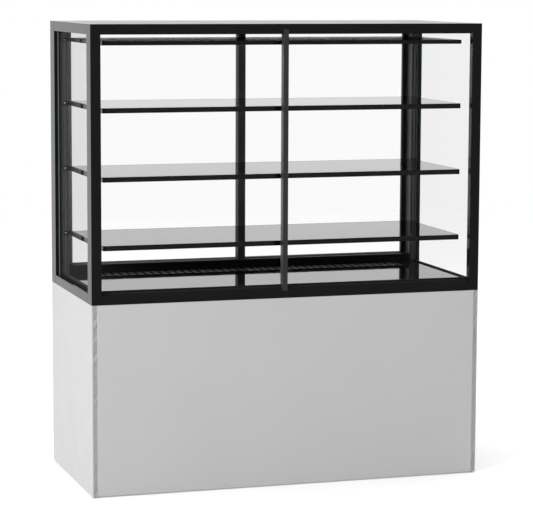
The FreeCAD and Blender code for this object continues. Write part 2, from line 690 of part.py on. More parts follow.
def make_rear_panels():
    """Louvred service panel and the control panel above it."""
    half = "width / 2 - cornerWide"
    x = ("-(%s)" % half, half)
    y = ("depth / 2 - panelIn - sheetThick", "depth / 2 - panelIn")
    slot = rectangle(("louvreStart", "louvreStart + louvreWide"),
                     ("coolZ - coolHole", "coolZ + coolHole"))
    panel = slotted("service_sheet", "XZ_Plane",
                    rectangle(x, ("panelFoot + sheetThick", "servicePanelTop")), y[0], y[1], slot,
                    "louvreStep", "louvres")
    hole = drum("gland_hole", "y", ("glandX", "glandZ"), "glandHole", ZERO, "depth")
    keep("rear_service_panel", cut("rear_service_panel", panel, [hole]))
    control = block("control_sheet", x, y, ("servicePanelTop + sheetThick", "plinthTop - paneGap"))
    window = block("switch_window",
                   ("switchX - bossReach - paneGap", "switchX + switchStep + bossReach + paneGap"),
                   (ZERO, "depth"), ("switchZ - bezelHigh / 2", "switchZ + bezelHigh / 2"))
    opening = block("controller_window", ("bezelLeft + bezelLap", "bezelLeft + bezelWide - bezelLap"),
                    (ZERO, "depth"),
                    ("switchZ - bezelHigh / 2 + bezelLap", "switchZ + bezelHigh / 2 - bezelLap"))
    keep("rear_control_panel", cut("rear_control_panel", control, [window, opening]))


def make_gland():
    """Cable gland low on the service panel, turned to face the rear."""
    profile = [("glandBore", ZERO), ("glandHole", ZERO), ("glandHole", "glandStep"),
               ("glandNut", "glandStep"), ("glandNut", "glandLong"), ("glandBore", "glandLong")]
    gland = turned("gland_body", profile, ("glandX", "depth / 2 - glandLong", "glandZ"))
    gland.Placement = Placement(gland.Placement.Base, Rotation(Vector(1, 0, 0), -90))
    keep("cable_gland", gland)


def make_screws():
    """Round screw heads on the rear panels and on the shelf arms' flanges."""
    heads = []
    face = "depth / 2 - panelIn"
    rows = ("screwFoot", "servicePanelTop - screwIn", "servicePanelTop + sheetThick + screwIn",
            "plinthTop - screwIn")
    for row, z in enumerate(rows):
        for column, x in enumerate(("-screwX", ZERO, "screwX")):
            heads.append(drum("panel_screw_%d_%d" % (row, column), "y", (x, z), "screwRadius",
                              face, face + " + screwHead"))
    for name, top, thick in shelf_tops():
        for side, sign in (("left", "-"), ("right", "")):
            heads.append(drum("%s_screw_%s" % (name, side), "y",
                              (sign + "(uprightIn + armScrew)", "%s - %s / 2" % (top, thick)),
                              "screwRadius", "deckRear - armSheet - screwHead",
                              "deckRear - armSheet"))
    keep("screws", group("screws", heads))


def make_well():
    """Insulated tub under the deck, with the evaporator and its fan plate."""
    top = "deckTop - deckSheet"
    floor = "linerFoot + linerSheet"
    foam = block("foam_block", ("-wellHalf", "wellHalf"), ("-deckFront", "deckRear"),
                 ("wellFoot", top))
    tub = (("-linerHalf", "linerHalf"), ("-linerFront", "linerRear"), ("linerFoot", top))
    keep("well_insulation", cut("well_insulation", foam, [block("foam_hollow", *tub)]))
    liner = block("liner_block", *tub)
    inside = ("-linerHalf + linerSheet", "linerHalf - linerSheet")
    hollow = block("liner_hollow", inside, ("-linerFront + linerSheet", "linerRear - linerSheet"),
                   (floor, "deckTop"))
    keep("well_liner", cut("well_liner", liner, [hollow]))
    plate = block("fan_plate", inside, ("-fanPlateFront", "-fanPlateFront + sheetThick"), (floor, top))
    hole = drum("fan_hole", "y", (ZERO, "fanZ"), "fanHole", "-depth", "depth")
    keep("evaporator_fan_plate", cut("evaporator_fan_plate", plate, [hole]))
    make_evaporator(floor)


def make_evaporator(floor):
    """Evaporator coil on its feet, its fan and the motor on a strap across the opening."""
    low = floor + " + coilRise"
    high = low + " + coilHigh"
    slot = rectangle(("-coilHalf + finStep", "-coilHalf + finStep + finGap"),
                     (low + " + coilRim", high + " - coilRim"))
    coil = slotted("coil_block", "XZ_Plane", rectangle(("-coilHalf", "coilHalf"), (low, high)),
                   "-coilFront", "coilRear", slot, "finStep", "coilPacks")
    feet = [block("coil_foot_" + side, side_x(left, "coilHalf - coilRim", "coilHalf"),
                  ("-coilFront", "coilRear"), (floor, low)) for side, left in SIDES]
    keep("evaporator_coil", fuse("evaporator_coil", [coil] + feet))
    motor = drum("motor_can", "y", (ZERO, "fanZ"), "motorRadius", "-motorFront", "-motorRear")
    z = ("fanZ - strapHalf", "fanZ + strapHalf")
    reach = "fanHole + strapEnd"
    strap = block("motor_strap", ("-(%s)" % reach, reach),
                  ("-strapFront", "-strapFront + strapSheet"), z)
    legs = [block("motor_leg_" + side, side_x(left, reach + " - strapSheet", reach),
                  ("-strapFront", "-fanPlateFront"), z) for side, left in SIDES]
    keep("evaporator_fan_motor", fuse("evaporator_fan_motor", [motor, strap] + legs))
    keep("evaporator_fan", rotor("evaporator_fan", (ZERO, "fanZ"), "fanRadius", "fanHub",
                                 ("-fanFront", "-fanRear")))


def rotor(name, centre, radius, hub, span):
    """A fan rotor on a y axis: a hub and pitched blades."""
    parts = [drum(name + "_hub", "y", centre, hub, span[0], span[1])]
    low, high = (number(text) for text in span)
    x, z = (number(text) for text in centre)
    sheet_thick = number("bladeSheet")
    root = number(hub) - sheet_thick
    wide = (high - low) * number("bladeSpread")
    count = int(number("blades"))
    for index in range(count):
        blade = doc.addObject("Part::Box", "%s_blade_%d" % (name, index))
        blade.Length = number(radius) - root
        blade.Width = wide
        blade.Height = sheet_thick
        start = Placement(Vector(root, -wide / 2, -sheet_thick / 2), Rotation())
        pitch = Placement(Vector(), Rotation(Vector(1, 0, 0), number("bladePitch")))
        around = Placement(Vector(x, (low + high) / 2, z),
                           Rotation(Vector(0, 1, 0), index * 360.0 / count))
        blade.Placement = around.multiply(pitch).multiply(start)
        parts.append(blade)
    return fuse(name, parts)


def make_condensing_unit():
    """Compressor, condenser with fan, pipes and tray on the base pan, and the electrical box."""
    floor = "panFloor + sheetThick"
    make_compressor(floor)
    make_condenser(floor)
    keep("evaporation_tray", cut(
        "evaporation_tray",
        block("tray_block", ("-trayLeft", "trayRight"), ("trayFront", "trayRear"),
              (floor, floor + " + trayHigh")),
        [block("tray_hollow", ("-trayLeft + sheetThick", "trayRight - sheetThick"),
               ("trayFront + sheetThick", "trayRear - sheetThick"),
               (floor + " + sheetThick", floor + " + 2 * trayHigh"))]))
    make_electrical_box()
    pipe_runs = [
        [(-260, 60, 205), (-260, 60, 300), (-20, 60, 300), (-20, 200, 300), (56, 200, 300)],
        [(-215, 60, 200), (-215, 60, 330), (-215, 20, 330), (-215, 20, 408)],
        [(56, 205, 100), (-40, 205, 100), (-40, 205, 360), (-40, 20, 360), (-40, 20, 408)],
    ]
    pipes = [pipe("pipe_%d" % index, run) for index, run in enumerate(pipe_runs)]
    keep("refrigerant_pipes", group("refrigerant_pipes", pipes))


def make_compressor(floor):
    """Hermetic compressor: a domed shell on a bed with four rubber pads."""
    shell = turned("compressor_shell", [
        (ZERO, "shellFoot"), ("compressorRadius - shellEase", "shellFoot"),
        ("compressorRadius", "shellFoot + shellEase"),
        ("compressorRadius", "compressorHigh - shoulderDrop"),
        ("compressorRadius - shoulderIn", "compressorHigh - crownDrop"),
        ("compressorRadius - crownIn", "compressorHigh"), (ZERO, "compressorHigh")],
        ("compressorX", "compressorY", floor))
    low = floor + " + padHigh"
    bed = block("compressor_bed", ("compressorX - bedX", "compressorX + bedX"),
                ("compressorY - bedY", "compressorY + bedY"), (low, low + " + bedSheet"))
    pads = [drum("compressor_pad_%d" % index, "z",
                 ("compressorX %s padX" % x, "compressorY %s padY" % y), "padRadius", floor, low)
            for index, (x, y) in enumerate((x, y) for x in "+-" for y in "+-")]
    keep("compressor", fuse("compressor", [shell, bed] + pads))


def pipe(name, run):
    """A copper pipe: straight runs joined by tangent arcs, then swept by a circle."""
    points = [Vector(*spot) for spot in run]
    bend = number("pipeBend")
    edges = []
    start = points[0]
    for before, corner, after in zip(points, points[1:], points[2:]):
        back = (before - corner).normalize()
        ahead = (after - corner).normalize()
        enter = corner + back * bend
        leave = corner + ahead * bend
        centre = corner + (back + ahead) * bend
        middle = centre + (corner - centre).normalize() * bend
        edges.append(Part.LineSegment(start, enter).toShape())
        edges.append(Part.Arc(enter, middle, leave).toShape())
        start = leave
    edges.append(Part.LineSegment(start, points[-1]).toShape())
    way = (points[1] - points[0]).normalize()
    ring = Part.Wire([Part.Circle(points[0], way, number("pipeRadius")).toShape()])
    item = doc.addObject("Part::Feature", name)
    item.Shape = Part.Wire(edges).makePipeShell([ring], True, True)
    return item


def make_condenser(floor):
    """Finned condenser behind the louvres, its shroud and the fan."""
    low = floor + " + coilRise"
    high = "coolZ + coolRise"
    x = ("coolX - coolHalf", "coolX + coolHalf")
    slot = rectangle((x[0] + " + finStep", x[0] + " + finStep + finGap"),
                     (low + " + coilRim", high + " - coilRim"))
    coil = slotted("condenser_block", "XZ_Plane", rectangle(x, (low, high)), "coolFront", "coolRear",
                   slot, "finStep", "coolPacks")
    foot = block("condenser_foot", (x[0] + " + coilRim", x[1] + " - coilRim"),
                 ("coolFront + coilRim", "coolRear - coilRim"), (floor, low))
    keep("condenser_coil", fuse("condenser_coil", [coil, foot]))
    plate = block("shroud_plate", x, ("shroudFront", "coolFront"), (low, high))
    hole = drum("shroud_hole", "y", ("coolX", "coolZ"), "coolHole", ZERO, "depth")
    motor = drum("cool_motor", "y", ("coolX", "coolZ"), "coolMotor", "coolMotorFront", "coolMotorRear")
    z = ("coolZ - stayHalf", "coolZ + stayHalf")
    stay = block("cool_stay", ("coolX - stayReach", "coolX + stayReach"),
                 ("stayFront", "stayFront + staySheet"), z)
    ends = [("coolX - stayReach", "coolX - stayReach + staySheet"),
            ("coolX + stayReach - staySheet", "coolX + stayReach")]
    legs = [block("cool_leg_%d" % index, end, ("stayFront", "shroudFront"), z)
            for index, end in enumerate(ends)]
    shroud = cut("shroud_ring", plate, [hole])
    keep("condenser_shroud", fuse("condenser_shroud", [shroud, motor, stay] + legs))
    keep("condenser_fan", rotor("condenser_fan", ("coolX", "coolZ"), "coolRadius", "coolHub",
                                ("coolFanFront", "coolFanRear")))


def make_electrical_box():
    """Electrical box whose boss carries the rocker switches through the control panel."""
    face = "depth / 2 - panelIn"
    shell = block("box_shell", ("boxLeft", "boxRight"), ("boxFront", face + " - sheetThick"),
                  ("boxFoot", "boxTop"))
    boss = block("box_boss", ("switchX - bossReach", "switchX + switchStep + bossReach"),
                 (face + " - sheetThick", face + " + bossRise"),
                 ("switchZ - bezelHigh / 2 + paneGap", "switchZ + bezelHigh / 2 - paneGap"))
    half_wide = "rockerWide / 2 + rockerPlay"
    half_high = "rockerHigh / 2 + rockerSwing"
    pockets = [block("rocker_pocket_%d" % index,
                     ("%s - (%s)" % (x, half_wide), "%s + %s" % (x, half_wide)),
                     (face + " - pocketDeep", "depth"),
                     ("switchZ - (%s)" % half_high, "switchZ + %s" % half_high))
               for index, x in enumerate(("switchX", "switchX + switchStep"))]
    keep("electrical_box", cut("electrical_box", fuse("box_body", [shell, boss]), pockets))


def rocker(name, x):
    """A rocker switch: a shallow vee section that tips about an axis along x."""
    face = "depth / 2 - panelIn"
    low = "switchZ - rockerHigh / 2"
    high = "switchZ + rockerHigh / 2"
    points = [(face + " - rockerDeep", low), (face + " + rockerPeak", low),
              (face + " + rockerLow", "switchZ"), (face + " + rockerLow", high),
              (face + " - rockerDeep", high)]
    return extrude(name, "YZ_Plane", points, x + " - rockerWide / 2", x + " + rockerWide / 2")


def make_controls():
    """Controller with two push buttons, and the two rocker switches."""
    face = "depth / 2 - panelIn"
    bezel = block("controller_bezel", ("bezelLeft", "bezelLeft + bezelWide"),
                  (face, face + " + bezelRise"),
                  ("switchZ - bezelHigh / 2", "switchZ + bezelHigh / 2"))
    inset = "bezelLap + paneGap"
    body = block("controller_body",
                 ("bezelLeft + " + inset, "bezelLeft + bezelWide - (%s)" % inset),
                 ("controllerFront", face),
                 ("switchZ - bezelHigh / 2 + " + inset, "switchZ + bezelHigh / 2 - (%s)" % inset))
    half_wide = "buttonWide / 2 + buttonPlay"
    half_high = "buttonHigh / 2 + buttonPlay"
    wells = []
    for name, x in (("button_up", "buttonX"), ("button_down", "buttonX - buttonStep")):
        wells.append(block(name + "_well", ("%s - (%s)" % (x, half_wide), "%s + %s" % (x, half_wide)),
                           (face + " - buttonWell", "depth"),
                           ("switchZ - (%s)" % half_high, "switchZ + %s" % half_high)))
        keep(name, block(name, (x + " - buttonWide / 2", x + " + buttonWide / 2"),
                         (face + " - buttonDeep", face + " + buttonRise"),
                         ("switchZ - buttonHigh / 2", "switchZ + buttonHigh / 2")))
    keep("controller", cut("controller", fuse("controller_case", [bezel, body]), wells))
    keep("power_switch", rocker("power_switch", "switchX"))
    keep("light_switch", rocker("light_switch", "switchX + switchStep"))


def write_parts():
    """Check every object, then write one file for each sub-part."""
    doc.recompute()
    for item in doc.Objects:
        if "Invalid" in item.State or "Error" in item.State:
            raise RuntimeError("%s failed: %s" % (item.Label, item.State))
    for item in pieces:
        if item.Shape.isNull() or not item.Shape.isValid() or not item.Shape.Solids:
            raise RuntimeError("%s has no valid solid" % item.Label)
    os.makedirs("parts", exist_ok=True)
    for item in pieces:
        item.Shape.exportStep("parts/%s.step" % item.Label)
        box = item.Shape.BoundBox
        print("%-24s solids %2d  volume %11.0f  x %7.1f %7.1f  y %7.1f %7.1f  z %7.1f %7.1f" % (
            item.Label, len(item.Shape.Solids), item.Shape.Volume, box.XMin, box.XMax,
            box.YMin, box.YMax, box.ZMin, box.ZMax))
    print(len(pieces), "sub-parts")


make_posts()
make_rails()
make_rear_rails()
make_glass()
make_deck()
make_uprights()
make_shelves()
make_doors()
make_plinth()
make_rear_panels()
make_gland()
make_screws()
make_well()
make_condensing_unit()
make_controls()
write_parts()
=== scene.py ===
import json
import math

import bmesh
import bpy
from mathutils import Matrix, Vector


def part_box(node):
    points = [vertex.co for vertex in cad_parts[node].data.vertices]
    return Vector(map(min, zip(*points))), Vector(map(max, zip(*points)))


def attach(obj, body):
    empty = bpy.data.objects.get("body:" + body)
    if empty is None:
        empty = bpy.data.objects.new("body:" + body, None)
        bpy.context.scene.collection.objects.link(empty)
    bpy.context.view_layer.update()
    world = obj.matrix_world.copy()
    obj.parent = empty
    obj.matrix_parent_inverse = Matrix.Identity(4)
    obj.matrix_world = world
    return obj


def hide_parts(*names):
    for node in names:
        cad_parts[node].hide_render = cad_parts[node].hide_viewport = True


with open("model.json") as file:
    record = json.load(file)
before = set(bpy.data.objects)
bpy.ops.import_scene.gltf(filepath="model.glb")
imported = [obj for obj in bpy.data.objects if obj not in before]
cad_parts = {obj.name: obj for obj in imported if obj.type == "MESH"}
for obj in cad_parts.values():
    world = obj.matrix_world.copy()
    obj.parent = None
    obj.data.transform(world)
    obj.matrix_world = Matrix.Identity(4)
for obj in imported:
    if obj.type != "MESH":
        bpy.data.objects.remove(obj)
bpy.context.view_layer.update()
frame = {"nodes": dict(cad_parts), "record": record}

# Refrigerated deli case: the looks around the fixed frame. Metres, +Z up, +Y to the rear.

bodyOf = {node: body for body, nodes in frame["record"]["behaviour"]["bodies"].items() for node in nodes}
mm = 0.001


# View and light

camera = {
    "aim": (0.003, -0.028, 0.663),   # point on the case that the lens axis passes through
    "distance": 6.7,
    "azimuth": -17.656,              # degrees, seen from the case's left
    "elevation": 7.122,
    "roll": 0.24,
    "lens": 148.27,                  # millimetres, on a 36 mm wide sensor
}


def setCamera(settings):
    azimuth = math.radians(settings["azimuth"])
    elevation = math.radians(settings["elevation"])
    ahead = Vector((-math.sin(azimuth) * math.cos(elevation),
                    math.cos(azimuth) * math.cos(elevation), -math.sin(elevation)))
    turn = ahead.to_track_quat("-Z", "Y").to_matrix()
    turn = turn @ Matrix.Rotation(math.radians(settings["roll"]), 3, "Z")
    bpy.ops.object.camera_add(location=Vector(settings["aim"]) - ahead * settings["distance"],
                              rotation=turn.to_euler())
    shot = bpy.context.object
    shot.data.lens = settings["lens"]
    shot.data.sensor_width = 36
    bpy.context.scene.camera = shot


# each lamp's place, size across and watts; both are aimed at the middle of the case
lamps = {
    "softboxLeft": {"place": (-4.5, -3.1, 3.4), "size": 2.6, "watts": 152},
    "softboxTop": {"place": (0.6, 0.4, 4.6), "size": 3.2, "watts": 56},
}


def addLamp(name, settings):
    spot = Vector(settings["place"])
    bpy.ops.object.light_add(type="AREA", location=spot)
    lamp = bpy.context.object
    lamp.name = name
    lamp.data.size = settings["size"]
    lamp.data.energy = settings["watts"]
    lamp.rotation_euler = (Vector(camera["aim"]) - spot).to_track_quat("-Z", "Y").to_euler()


def toLinear(hexColour):
    # sRGB hex to the linear values a shader takes
    channels = [int(hexColour[i:i + 2], 16) / 255 for i in (1, 3, 5)]
    return tuple(c / 12.92 if c <= 0.04045 else ((c + 0.055) / 1.055) ** 2.4 for c in channels) + (1.0,)


def addNode(tree, kind, settings=None, links=None):
    # one node, its values or properties set, its inputs linked
    node = tree.nodes.new(kind)
    for name, value in (settings or {}).items():
        if isinstance(name, int) or name in node.inputs:
            node.inputs[name].default_value = value
        else:
            setattr(node, name, value)
    for name, source in (links or {}).items():
        tree.links.new(source, node.inputs[name])
    return node


room = {
    "white": "#FFFFFF",
    "frontDim": 0.24,        # the studio is dark on the customer's side, so black gloss stays black
    "frontDirection": (0.42, -0.91, 0.0),
    "whiteStrength": 1.0,
}


def lightRoom(settings):
    # a white studio behind, beside and above the case that falls off towards the front
    world = bpy.data.worlds.new("studio")
    bpy.context.scene.world = world
    world.use_nodes = True
    tree = world.node_tree
    tree.nodes.clear()
    way = addNode(tree, "ShaderNodeTexCoord").outputs["Generated"]
    frontness = addNode(tree, "ShaderNodeVectorMath", {"operation": "DOT_PRODUCT",
                                                       1: settings["frontDirection"]}, {0: way})
    height = addNode(tree, "ShaderNodeSeparateXYZ", links={0: way}).outputs["Z"]
    fall = addNode(tree, "ShaderNodeMapRange",
                   {"interpolation_type": "SMOOTHSTEP", "From Min": -0.1, "From Max": 0.75,
                    "To Min": settings["whiteStrength"], "To Max": settings["frontDim"]},
                   {"Value": frontness.outputs["Value"]})
    lift = addNode(tree, "ShaderNodeMapRange", {"interpolation_type": "SMOOTHSTEP", "From Min": 0.3,
                                                "From Max": 0.9, "To Min": 0.0, "To Max": 1.0},
                   {"Value": height})
    level = addNode(tree, "ShaderNodeMath", {"operation": "MAXIMUM"},
                    {0: fall.outputs[0], 1: lift.outputs[0]})
    seen = addNode(tree, "ShaderNodeLightPath").outputs["Is Camera Ray"]
    level = addNode(tree, "ShaderNodeMath", {"operation": "MAXIMUM"}, {0: level.outputs[0], 1: seen})
    back = addNode(tree, "ShaderNodeBackground", {"Color": toLinear(settings["white"])},
                   {"Strength": level.outputs[0]})
    addNode(tree, "ShaderNodeOutputWorld", links={"Surface": back.outputs[0]})


setCamera(camera)
for lampName, lampSettings in lamps.items():
    addLamp(lampName, lampSettings)
lightRoom(room)
bpy.context.scene.view_settings.view_transform = "Standard"
print("view and light set")


# Finishes

materials = {}


def perMetre(size):
    # scale of a pattern whose features are that many millimetres apart
    return 1000 / size


def makeSurface(name, recipe):
    # a solid finish: colour drift, uneven gloss and a fine relief, all in object space
    material = bpy.data.materials.new(name)
    material.use_nodes = True
    tree = material.node_tree
    shader = tree.nodes["Principled BSDF"]
    shader.inputs["Metallic"].default_value = recipe.get("metallic", 0.0)
    shader.inputs["IOR"].default_value = recipe.get("ior", 1.5)
    shader.inputs["Emission Color"].default_value = toLinear(recipe.get("glow", "#FFFFFF"))
    shader.inputs["Emission Strength"].default_value = recipe.get("glowStrength", 0.0)
    place = addNode(tree, "ShaderNodeTexCoord").outputs["Object"]
    place = addNode(tree, "ShaderNodeMapping", {"Scale": recipe.get("stretch", (1, 1, 1))},
                    {"Vector": place}).outputs[0]
    drift = addNode(tree, "ShaderNodeTexNoise", {"Scale": perMetre(recipe["patchSize"]), "Detail": 4.0},
                    {"Vector": place})
    tone = addNode(tree, "ShaderNodeMix", {"data_type": "RGBA"}, {"Factor": drift.outputs["Fac"]})
    for socket, shade in ((6, "colour"), (7, "patch")):
        tone.inputs[socket].default_value = toLinear(recipe[shade])
    tree.links.new(tone.outputs[2], shader.inputs["Base Color"])
    smudge = addNode(tree, "ShaderNodeTexNoise",
                     {"Scale": perMetre(recipe["smudgeSize"]), "Detail": 5.0, "Distortion": 0.6},
                     {"Vector": place})
    low, high = recipe["rough"]
    gloss = addNode(tree, "ShaderNodeMapRange", {"From Min": 0.35, "From Max": 0.7,
                                                 "To Min": low, "To Max": high},
                    {"Value": smudge.outputs["Fac"]})
    tree.links.new(gloss.outputs[0], shader.inputs["Roughness"])
    grain = addNode(tree, "ShaderNodeTexNoise", {"Scale": perMetre(recipe["grain"]), "Detail": 2.0},
                    {"Vector": place})
    relief = addNode(tree, "ShaderNodeBump", {"Strength": recipe.get("reliefStrength", 0.4),
                                              "Distance": recipe["grainDepth"] * mm},
                     {"Height": grain.outputs["Fac"]})
    tree.links.new(relief.outputs[0], shader.inputs["Normal"])
    materials[name] = material
    return tree, shader, place, tone


# Powder-coated aluminium section, gloss black: deep, nearly mirror-like, with a faint orange peel
makeSurface("glossPowderCoat", {
    "colour": "#131315", "patch": "#19191B", "patchSize": 180, "rough": (0.05, 0.10),
    "smudgeSize": 60, "grain": 3.0, "grainDepth": 0.004, "ior": 1.27})

# Black anodised aluminium, extruded: a satin dark grey that lifts a little in the light
makeSurface("blackAnodised", {
    "colour": "#28282A", "patch": "#303033", "patchSize": 120, "rough": (0.30, 0.40),
    "smudgeSize": 40, "grain": 1.2, "grainDepth": 0.008, "stretch": (1, 1, 0.08), "ior": 1.5})

# Grooved shelf upright, black anodised and bead-blasted; its grey is painted light, lifted above black to
# make up for the shade the shelves and top sheet cast on it
makeSurface("uprightAnodisedPaintedLight", {
    "colour": "#5F5F62", "patch": "#545457", "patchSize": 90, "rough": (0.36, 0.46),
    "smudgeSize": 40, "grain": 1.0, "grainDepth": 0.01, "stretch": (1, 1, 0.1), "ior": 1.5})

# Door stiles, satin powder coat: a little duller than the case's own bars
makeSurface("satinPowderCoat", {
    "colour": "#5E5E60", "patch": "#656567", "patchSize": 110, "rough": (0.36, 0.46),
    "smudgeSize": 50, "grain": 2.0, "grainDepth": 0.01, "ior": 1.4})

# Door rails and tracks, matt black anodised and rubbed dull by the doors' brushes
makeSurface("mattAnodised", {
    "colour": "#1A1A1B", "patch": "#222224", "patchSize": 70, "rough": (0.55, 0.68),
    "smudgeSize": 35, "grain": 1.4, "grainDepth": 0.01, "stretch": (0.1, 1, 1), "ior": 1.3})

# Sheet steel top, gloss enamel over a slight roll: reflections are soft and long
makeSurface("enamelledTop", {
    "colour": "#141415", "patch": "#18181A", "patchSize": 240, "rough": (0.17, 0.23),
    "smudgeSize": 90, "grain": 5.0, "grainDepth": 0.01})

# Back-painted float glass shelf: black under a polished face, with faint wiped marks
makeSurface("blackGlassShelf", {
    "colour": "#08080A", "patch": "#0D0D10", "patchSize": 160, "rough": (0.01, 0.04),
    "smudgeSize": 55, "grain": 40.0, "grainDepth": 0.004, "ior": 1.55})

# Canopy slab of the same glass with its top face etched, so nothing sharp shows in it
makeSurface("etchedGlassCanopy", {
    "colour": "#08080A", "patch": "#0D0D10", "patchSize": 160, "rough": (0.20, 0.27),
    "smudgeSize": 55, "grain": 40.0, "grainDepth": 0.004, "ior": 1.5})

# Deck in polished black laminate with a fine pearl: a clear mirror at a low angle
makeSurface("pearlLaminate", {
    "colour": "#1B1C1F", "patch": "#2B2D31", "patchSize": 3.0, "rough": (0.03, 0.07),
    "smudgeSize": 40, "grain": 30.0, "grainDepth": 0.004, "ior": 1.5})

# Clear anodised aluminium pull, etched before it was anodised: it scatters like pale paint
makeSurface("clearAnodised", {
    "colour": "#E2E3E4", "patch": "#D2D3D5", "patchSize": 60, "rough": (0.40, 0.52), "metallic": 0.15,
    "smudgeSize": 30, "grain": 0.9, "grainDepth": 0.012, "stretch": (1, 1, 0.05)})

# Extruded EPDM rubber: matt black with a soft bloom
makeSurface("epdmRubber", {
    "colour": "#131313", "patch": "#1D1D1D", "patchSize": 12, "rough": (0.6, 0.8),
    "smudgeSize": 8, "grain": 1.0, "grainDepth": 0.05})

# Slotted steel grille, satin black paint
makeSurface("satinBlackSteel", {
    "colour": "#151516", "patch": "#1F1F21", "patchSize": 45, "rough": (0.32, 0.46),
    "smudgeSize": 25, "grain": 1.4, "grainDepth": 0.02})

# Plinth sheet, fine-texture polyester powder coat, light grey: an even eggshell sheen
makeSurface("greyPowderCoat", {
    "colour": "#C1C1C2", "patch": "#BCBCBE", "patchSize": 320, "rough": (0.38, 0.48),
    "smudgeSize": 110, "grain": 1.6, "grainDepth": 0.03, "reliefStrength": 0.5, "ior": 1.48})

# Injection-moulded black nylon: feet, gland
makeSurface("mouldedNylon", {
    "colour": "#141415", "patch": "#1C1C1E", "patchSize": 20, "rough": (0.42, 0.58),
    "smudgeSize": 14, "grain": 0.8, "grainDepth": 0.03})

# Zinc-plated steel screw: bright, slightly blue
makeSurface("zincPlatedScrew", {
    "colour": "#D5D8DC", "patch": "#BFC3C9", "patchSize": 4, "rough": (0.14, 0.26), "metallic": 1.0,
    "smudgeSize": 3, "grain": 0.6, "grainDepth": 0.006})

# Turned brass nut: yellow, with the tool's fine rings
makeSurface("turnedBrass", {
    "colour": "#C9A35C", "patch": "#A9843F", "patchSize": 8, "rough": (0.18, 0.30), "metallic": 1.0,
    "smudgeSize": 5, "grain": 0.7, "grainDepth": 0.01})

# Rigid polyurethane foam, foamed in place: cream skin with fine cells
makeSurface("polyurethaneFoam", {
    "colour": "#D9CFA8", "patch": "#C8BA8B", "patchSize": 30, "rough": (0.75, 0.9),
    "smudgeSize": 20, "grain": 2.0, "grainDepth": 0.4})

# Brushed stainless liner: fine lines along the case
makeSurface("brushedStainless", {
    "colour": "#C4C6C8", "patch": "#AFB1B3", "patchSize": 40, "rough": (0.22, 0.36), "metallic": 1.0,
    "smudgeSize": 20, "grain": 0.8, "grainDepth": 0.02, "stretch": (0.03, 1, 1)})

# Plain aluminium fin stock, rolled thin
makeSurface("aluminiumFin", {
    "colour": "#C9CBCD", "patch": "#B4B6B9", "patchSize": 30, "rough": (0.28, 0.42), "metallic": 1.0,
    "smudgeSize": 16, "grain": 1.5, "grainDepth": 0.02})

# Black enamel on a pressed steel shell: compressor, motors and shroud
makeSurface("blackEnamel", {
    "colour": "#111112", "patch": "#1B1B1D", "patchSize": 50, "rough": (0.22, 0.40),
    "smudgeSize": 22, "grain": 3.0, "grainDepth": 0.04})

# Glass-filled polypropylene fan, moulded: dull with a flow pattern
makeSurface("mouldedPolypropylene", {
    "colour": "#1A1A1C", "patch": "#26262A", "patchSize": 16, "rough": (0.40, 0.55),
    "smudgeSize": 10, "grain": 1.2, "grainDepth": 0.02})

# Drawn copper tube: warm, with darker oxide patches
makeSurface("drawnCopper", {
    "colour": "#C9794F", "patch": "#8E4E35", "patchSize": 35, "rough": (0.18, 0.38), "metallic": 1.0,
    "smudgeSize": 12, "grain": 1.0, "grainDepth": 0.01})

# ABS control fascia, spark-eroded mould texture
makeSurface("texturedAbs", {
    "colour": "#18181A", "patch": "#202023", "patchSize": 12, "rough": (0.40, 0.52),
    "smudgeSize": 9, "grain": 0.7, "grainDepth": 0.03})

# Polished ABS rocker: the moulding's own gloss
makeSurface("polishedAbs", {
    "colour": "#0F0F10", "patch": "#161617", "patchSize": 10, "rough": (0.12, 0.22),
    "smudgeSize": 6, "grain": 2.0, "grainDepth": 0.004, "ior": 1.53})

# Grey silicone push button
makeSurface("siliconeButton", {
    "colour": "#8D9096", "patch": "#7C7F85", "patchSize": 6, "rough": (0.42, 0.55),
    "smudgeSize": 4, "grain": 0.6, "grainDepth": 0.02})

# White pad-printed ink for the generic marks
makeSurface("whiteInk", {
    "colour": "#E6E6E2", "patch": "#D4D4D0", "patchSize": 2, "rough": (0.45, 0.6),
    "smudgeSize": 2, "grain": 0.5, "grainDepth": 0.01})


def makeGalvanised():
    # hot-dip galvanised sheet: large zinc spangles, each its own grey and gloss
    tree, shader, place, tone = makeSurface("galvanisedSheet", {
        "colour": "#A9AEB2", "patch": "#8C9297", "patchSize": 60, "rough": (0.30, 0.45),
        "metallic": 1.0, "smudgeSize": 30, "grain": 3.0, "grainDepth": 0.01})
    spangle = addNode(tree, "ShaderNodeTexVoronoi", {"Scale": perMetre(9.0)}, {"Vector": place})
    shade = addNode(tree, "ShaderNodeSeparateColor", links={0: spangle.outputs["Color"]})
    tree.links.new(shade.outputs[0], tone.inputs["Factor"])
    gloss = addNode(tree, "ShaderNodeMapRange", {"To Min": 0.24, "To Max": 0.48},
                    {"Value": shade.outputs[1]})
    tree.links.new(gloss.outputs[0], shader.inputs["Roughness"])


